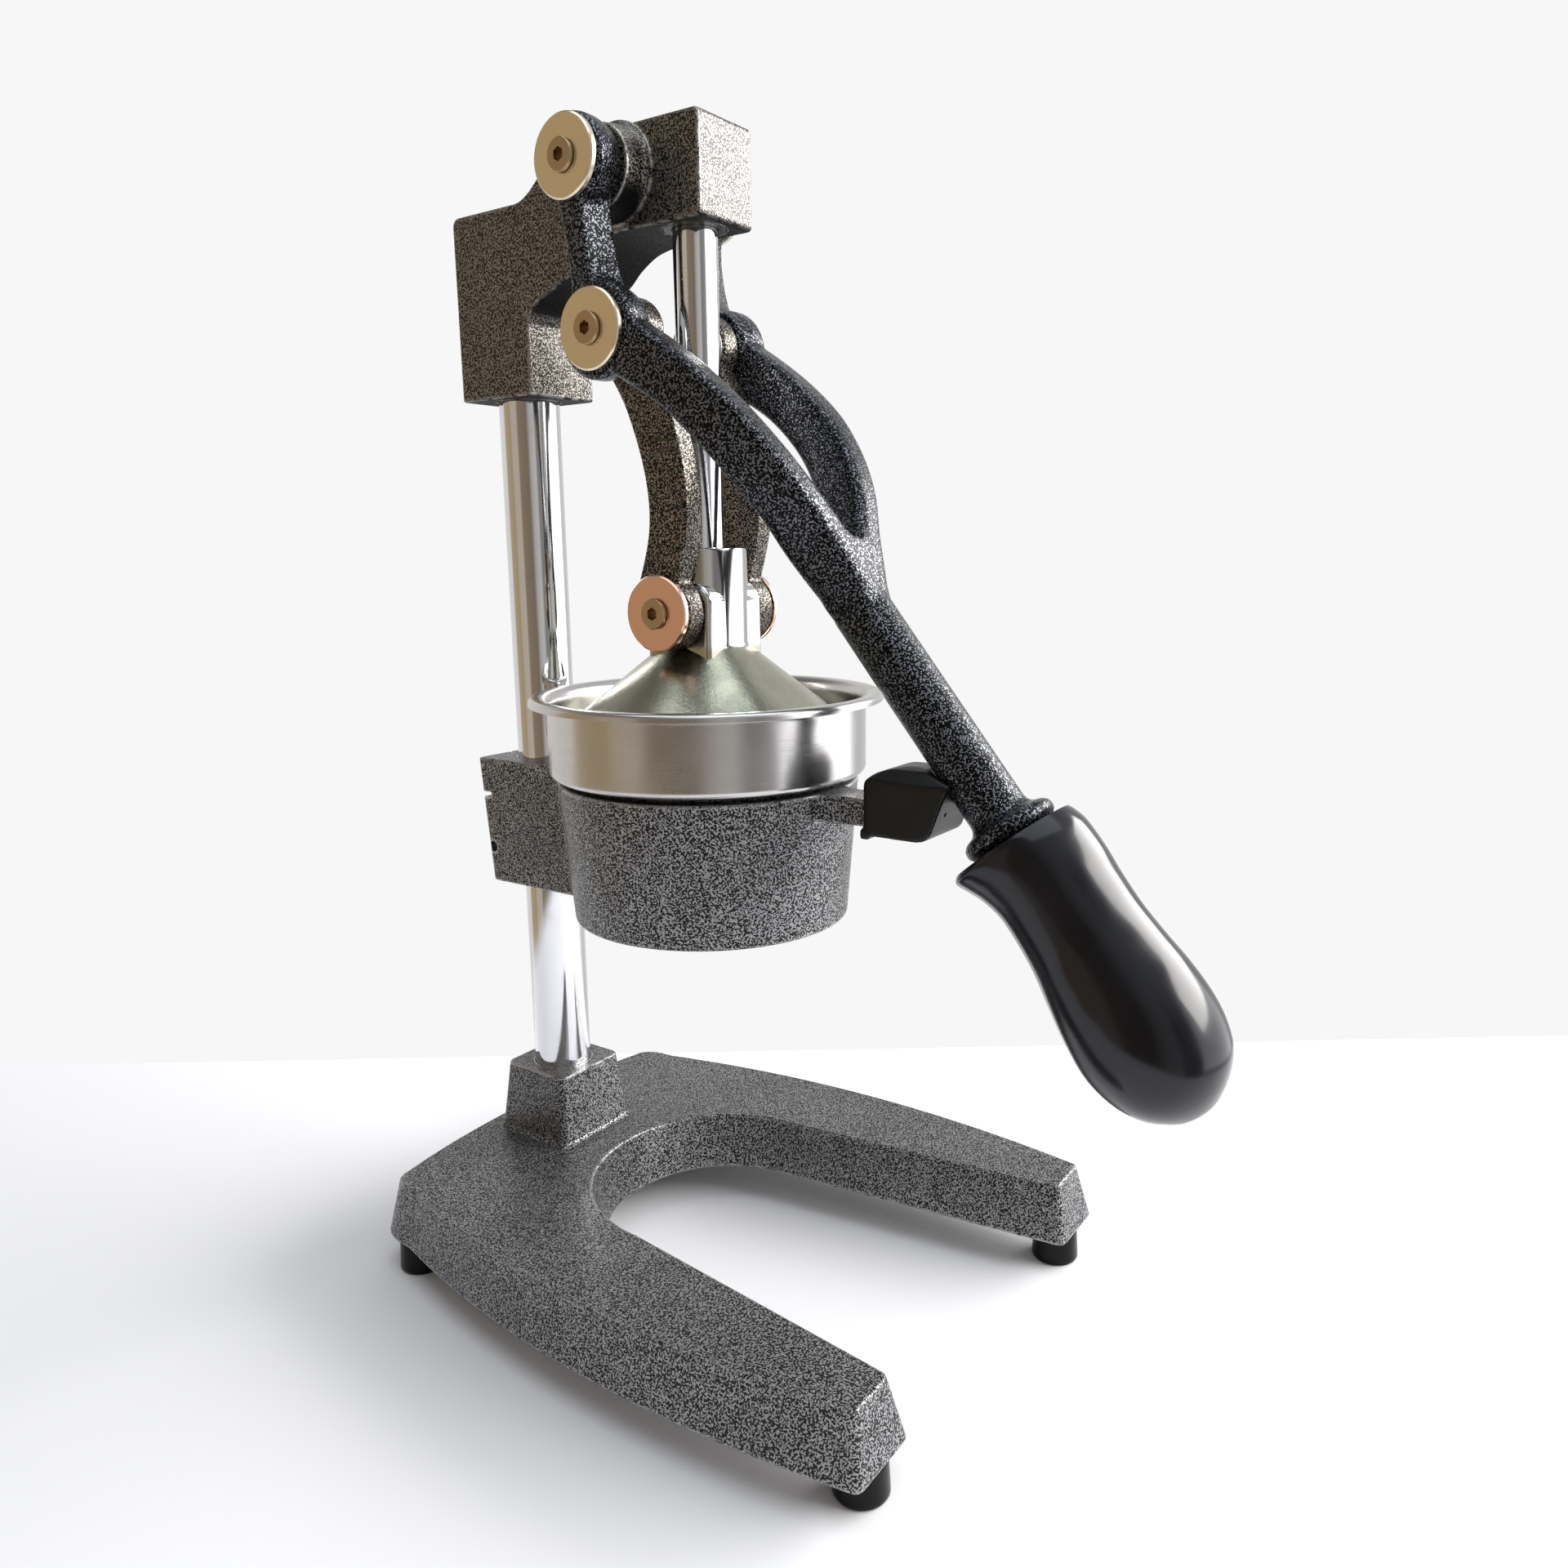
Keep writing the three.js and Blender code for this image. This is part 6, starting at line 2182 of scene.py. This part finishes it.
@dataclass
class Studio:
    """Table, background, lights and the camera of the photograph.

    Attributes:
        yaw: Turn of the camera's view from the back towards the right, in degrees.
        pitch: Dip of its view, in degrees.
        edge_normal: Level direction from the press to the far edge of the table.
        table_reach: Distance from which shiny metal sees through the table, in metres.
        room: Turn from the camera's side, in degrees, and the room's display colour there.
    """

    bench: Bench
    eye: Triple = (-336.31, -270.72, 273.61)
    yaw: float = 54.81
    pitch: float = 11.03
    roll: float = -0.79
    sensor: float = 36.0
    focal_share: float = 1464.57 / 1920
    clip: float = 0.01
    table_half: float = 3.0
    edge_normal: Pair = (0.809, 0.587)
    edge_distance: float = 195.0
    table_reach: float = 0.5
    paper: Colour = shade(247, 247, 247)
    lamps: tuple[Lamp, ...] = (
        Lamp("window", (1150, -1255, 970), (0, 0, 250), (2.1, 0.79), 49, (1, 0.975, 0.94)),
        Lamp("ceiling", (-50, -150, 1500), (0, 0, 150), (1.4, 1.4), 8, (0.84, 0.92, 1)))
    room: tuple[tuple[float, Triple], ...] = (
        (-180, (246, 246, 244)), (-106, (240, 238, 234)), (-100, (194, 174, 144)),
        (-72, (180, 160, 126)), (-66, (198, 184, 162)), (-44, (198, 187, 173)),
        (-38, (148, 131, 110)), (-5, (132, 119, 102)), (6, (190, 185, 178)),
        (22, (206, 205, 203)), (30, (138, 136, 132)), (50, (158, 157, 158)),
        (57, (252, 252, 255)), (126, (252, 252, 255)), (136, (222, 222, 224)),
        (180, (246, 246, 244)))

    def _place(self, point: Sequence[float]) -> Vector:
        """Return a place of the press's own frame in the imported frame."""
        return Vector(point) * METRE + Vector((0, self.bench.axis_y, 0))

    def camera(self) -> None:
        """Set the camera where the photograph was taken from."""
        yaw, pitch, roll = (math.radians(angle) for angle in (self.yaw, self.pitch, self.roll))
        ahead = Vector((math.sin(yaw) * math.cos(pitch), math.cos(yaw) * math.cos(pitch),
                        -math.sin(pitch)))
        right = Vector((math.cos(yaw), -math.sin(yaw), 0))
        up = right.cross(ahead)
        tilted = right * math.cos(roll) + up * math.sin(roll)
        raised = up * math.cos(roll) - right * math.sin(roll)
        data = bpy.data.cameras.new("camera")
        data.sensor_width = self.sensor
        data.lens = self.sensor * self.focal_share
        data.clip_start = self.clip
        camera = bpy.data.objects.new("camera", data)
        turn = Matrix((tilted, raised, -ahead)).transposed().to_4x4()
        camera.matrix_world = Matrix.Translation(self._place(self.eye)) @ turn
        bpy.context.scene.collection.objects.link(camera)
        bpy.context.scene.camera = camera

    def _table_top(self) -> bpy.types.Material:
        """Make the table's pale matt surface, which shiny metal sees only near the press.

        Returns:
            The material.
        """
        material = bpy.data.materials.new("table")
        material.use_nodes = True
        graph = Graph(material.node_tree)
        where = graph.place()
        tone = graph.mix(graph.noise(where, 3, 3), shade(246, 246, 249), shade(242, 242, 245))
        skin = graph.node("ShaderNodeBsdfPrincipled", None,
                          {"Base Color": tone, "Roughness": 0.7, "Specular IOR Level": 0.2})
        clear = graph.node("ShaderNodeBsdfTransparent")
        x, y, _ = graph.split(where)
        far = ((x * x + y * y) ** 0.5).ramped(self.table_reach - 0.1, self.table_reach)
        glossy = graph.node("ShaderNodeLightPath", output="Is Glossy Ray")
        mixed = graph.node("ShaderNodeMixShader", None, {0: far * glossy, 1: skin, 2: clear})
        graph.node("ShaderNodeOutputMaterial", None, {"Surface": mixed})
        return material

    def table(self) -> None:
        """Lay the table, which ends behind the press."""
        top = Shape()
        bmesh.ops.create_grid(top.bm, x_segments=2, y_segments=2, size=self.table_half)
        normal = Vector((*self.edge_normal, 0))
        bmesh.ops.bisect_plane(top.bm, geom=top.bm.verts[:] + top.bm.edges[:] + top.bm.faces[:],
                               plane_co=self._place(normal * self.edge_distance),
                               plane_no=normal, clear_outer=True)
        mesh = top.mesh("table")
        mesh.materials.append(self._table_top())
        table = bpy.data.objects.new("table", mesh)
        bpy.context.scene.collection.objects.link(table)

    def _hang(self, lamp: Lamp) -> None:
        """Hang a lamp.

        Args:
            lamp: The lamp.
        """
        data = bpy.data.lights.new(lamp.name, "AREA")
        data.shape = "RECTANGLE"
        data.size, data.size_y = lamp.size
        data.energy = lamp.power
        data.color = lamp.colour
        hung = bpy.data.objects.new(lamp.name, data)
        start, end = self._place(lamp.place), self._place(lamp.aim)
        turn = (end - start).to_track_quat("-Z", "Y").to_matrix().to_4x4()
        hung.matrix_world = Matrix.Translation(start) @ turn
        bpy.context.scene.collection.objects.link(hung)

    def world(self) -> None:
        """Stand the pale room round the press, with plain paper where the camera looks."""
        world = bpy.data.worlds.new("world")
        bpy.context.scene.world = world
        world.use_nodes = True
        graph = Graph(world.node_tree)
        where = graph.node("ShaderNodeTexCoord", output="Generated")
        yaw = math.radians(self.yaw)
        back = graph.dot(where, (-math.sin(yaw), -math.cos(yaw), 0))
        right = graph.dot(where, (math.cos(yaw), -math.sin(yaw), 0))
        turn = right.turn_of(back) / math.tau + 0.5
        stops = [(degrees / 360 + 0.5, shade(*tone)) for degrees, tone in self.room]
        walls = graph.node("ShaderNodeValToRGB", {"stops": stops}, {"Fac": turn})
        height = graph.split(where)[2]
        ceiling = graph.mix(right.ramped(-0.6, 0.6), shade(132, 129, 124), shade(232, 233, 236))
        above = graph.mix(height.ramped(0.3, 0.75), walls, ceiling)
        window = (turn.ramped(0.64, 0.67) * turn.ramped(0.86, 0.84)
                  * height.ramped(0.66, 0.5) * height.ramped(-0.32, -0.22))
        room = graph.node("ShaderNodeBackground", None,
                          {"Color": above, "Strength": window * 1.3 + 0.85})
        seen = graph.node("ShaderNodeBackground", None, {"Color": self.paper, "Strength": 1.0})
        camera = graph.node("ShaderNodeLightPath", output="Is Camera Ray")
        mixed = graph.node("ShaderNodeMixShader", None, {0: camera, 1: room, 2: seen})
        graph.node("ShaderNodeOutputWorld", None, {"Surface": mixed})

    def build(self) -> None:
        """Build the whole studio."""
        self.camera()
        self.table()
        for lamp in self.lamps:
            self._hang(lamp)
        self.world()
        bpy.context.scene.view_settings.view_transform = "Standard"


def corners(bounds: Iterable[Any]) -> list[list[float]]:
    """Return a box's corners as plain lists."""
    return [[float(value) for value in corner] for corner in bounds]


def main() -> None:
    """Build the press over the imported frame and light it."""
    logging.basicConfig(level=logging.INFO, format="%(name)s: %(message)s")
    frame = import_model()
    bench, moulder, palette, pivots = Bench(frame), Moulder(), Palette(), Pivots()
    Studio(bench).build()
    for assembly in (Stand, PivotCaps, Lever, Links, Plunger, JuiceCup):
        assembly(bench, moulder, palette, pivots).build()
        LOG.info("%s is built", assembly.__name__)
    left = sorted(set(bench.nodes) - bench.dressed)
    if left:
        LOG.warning("nodes without a finish: %s", ", ".join(left))


if __name__ == "__main__":
    main()
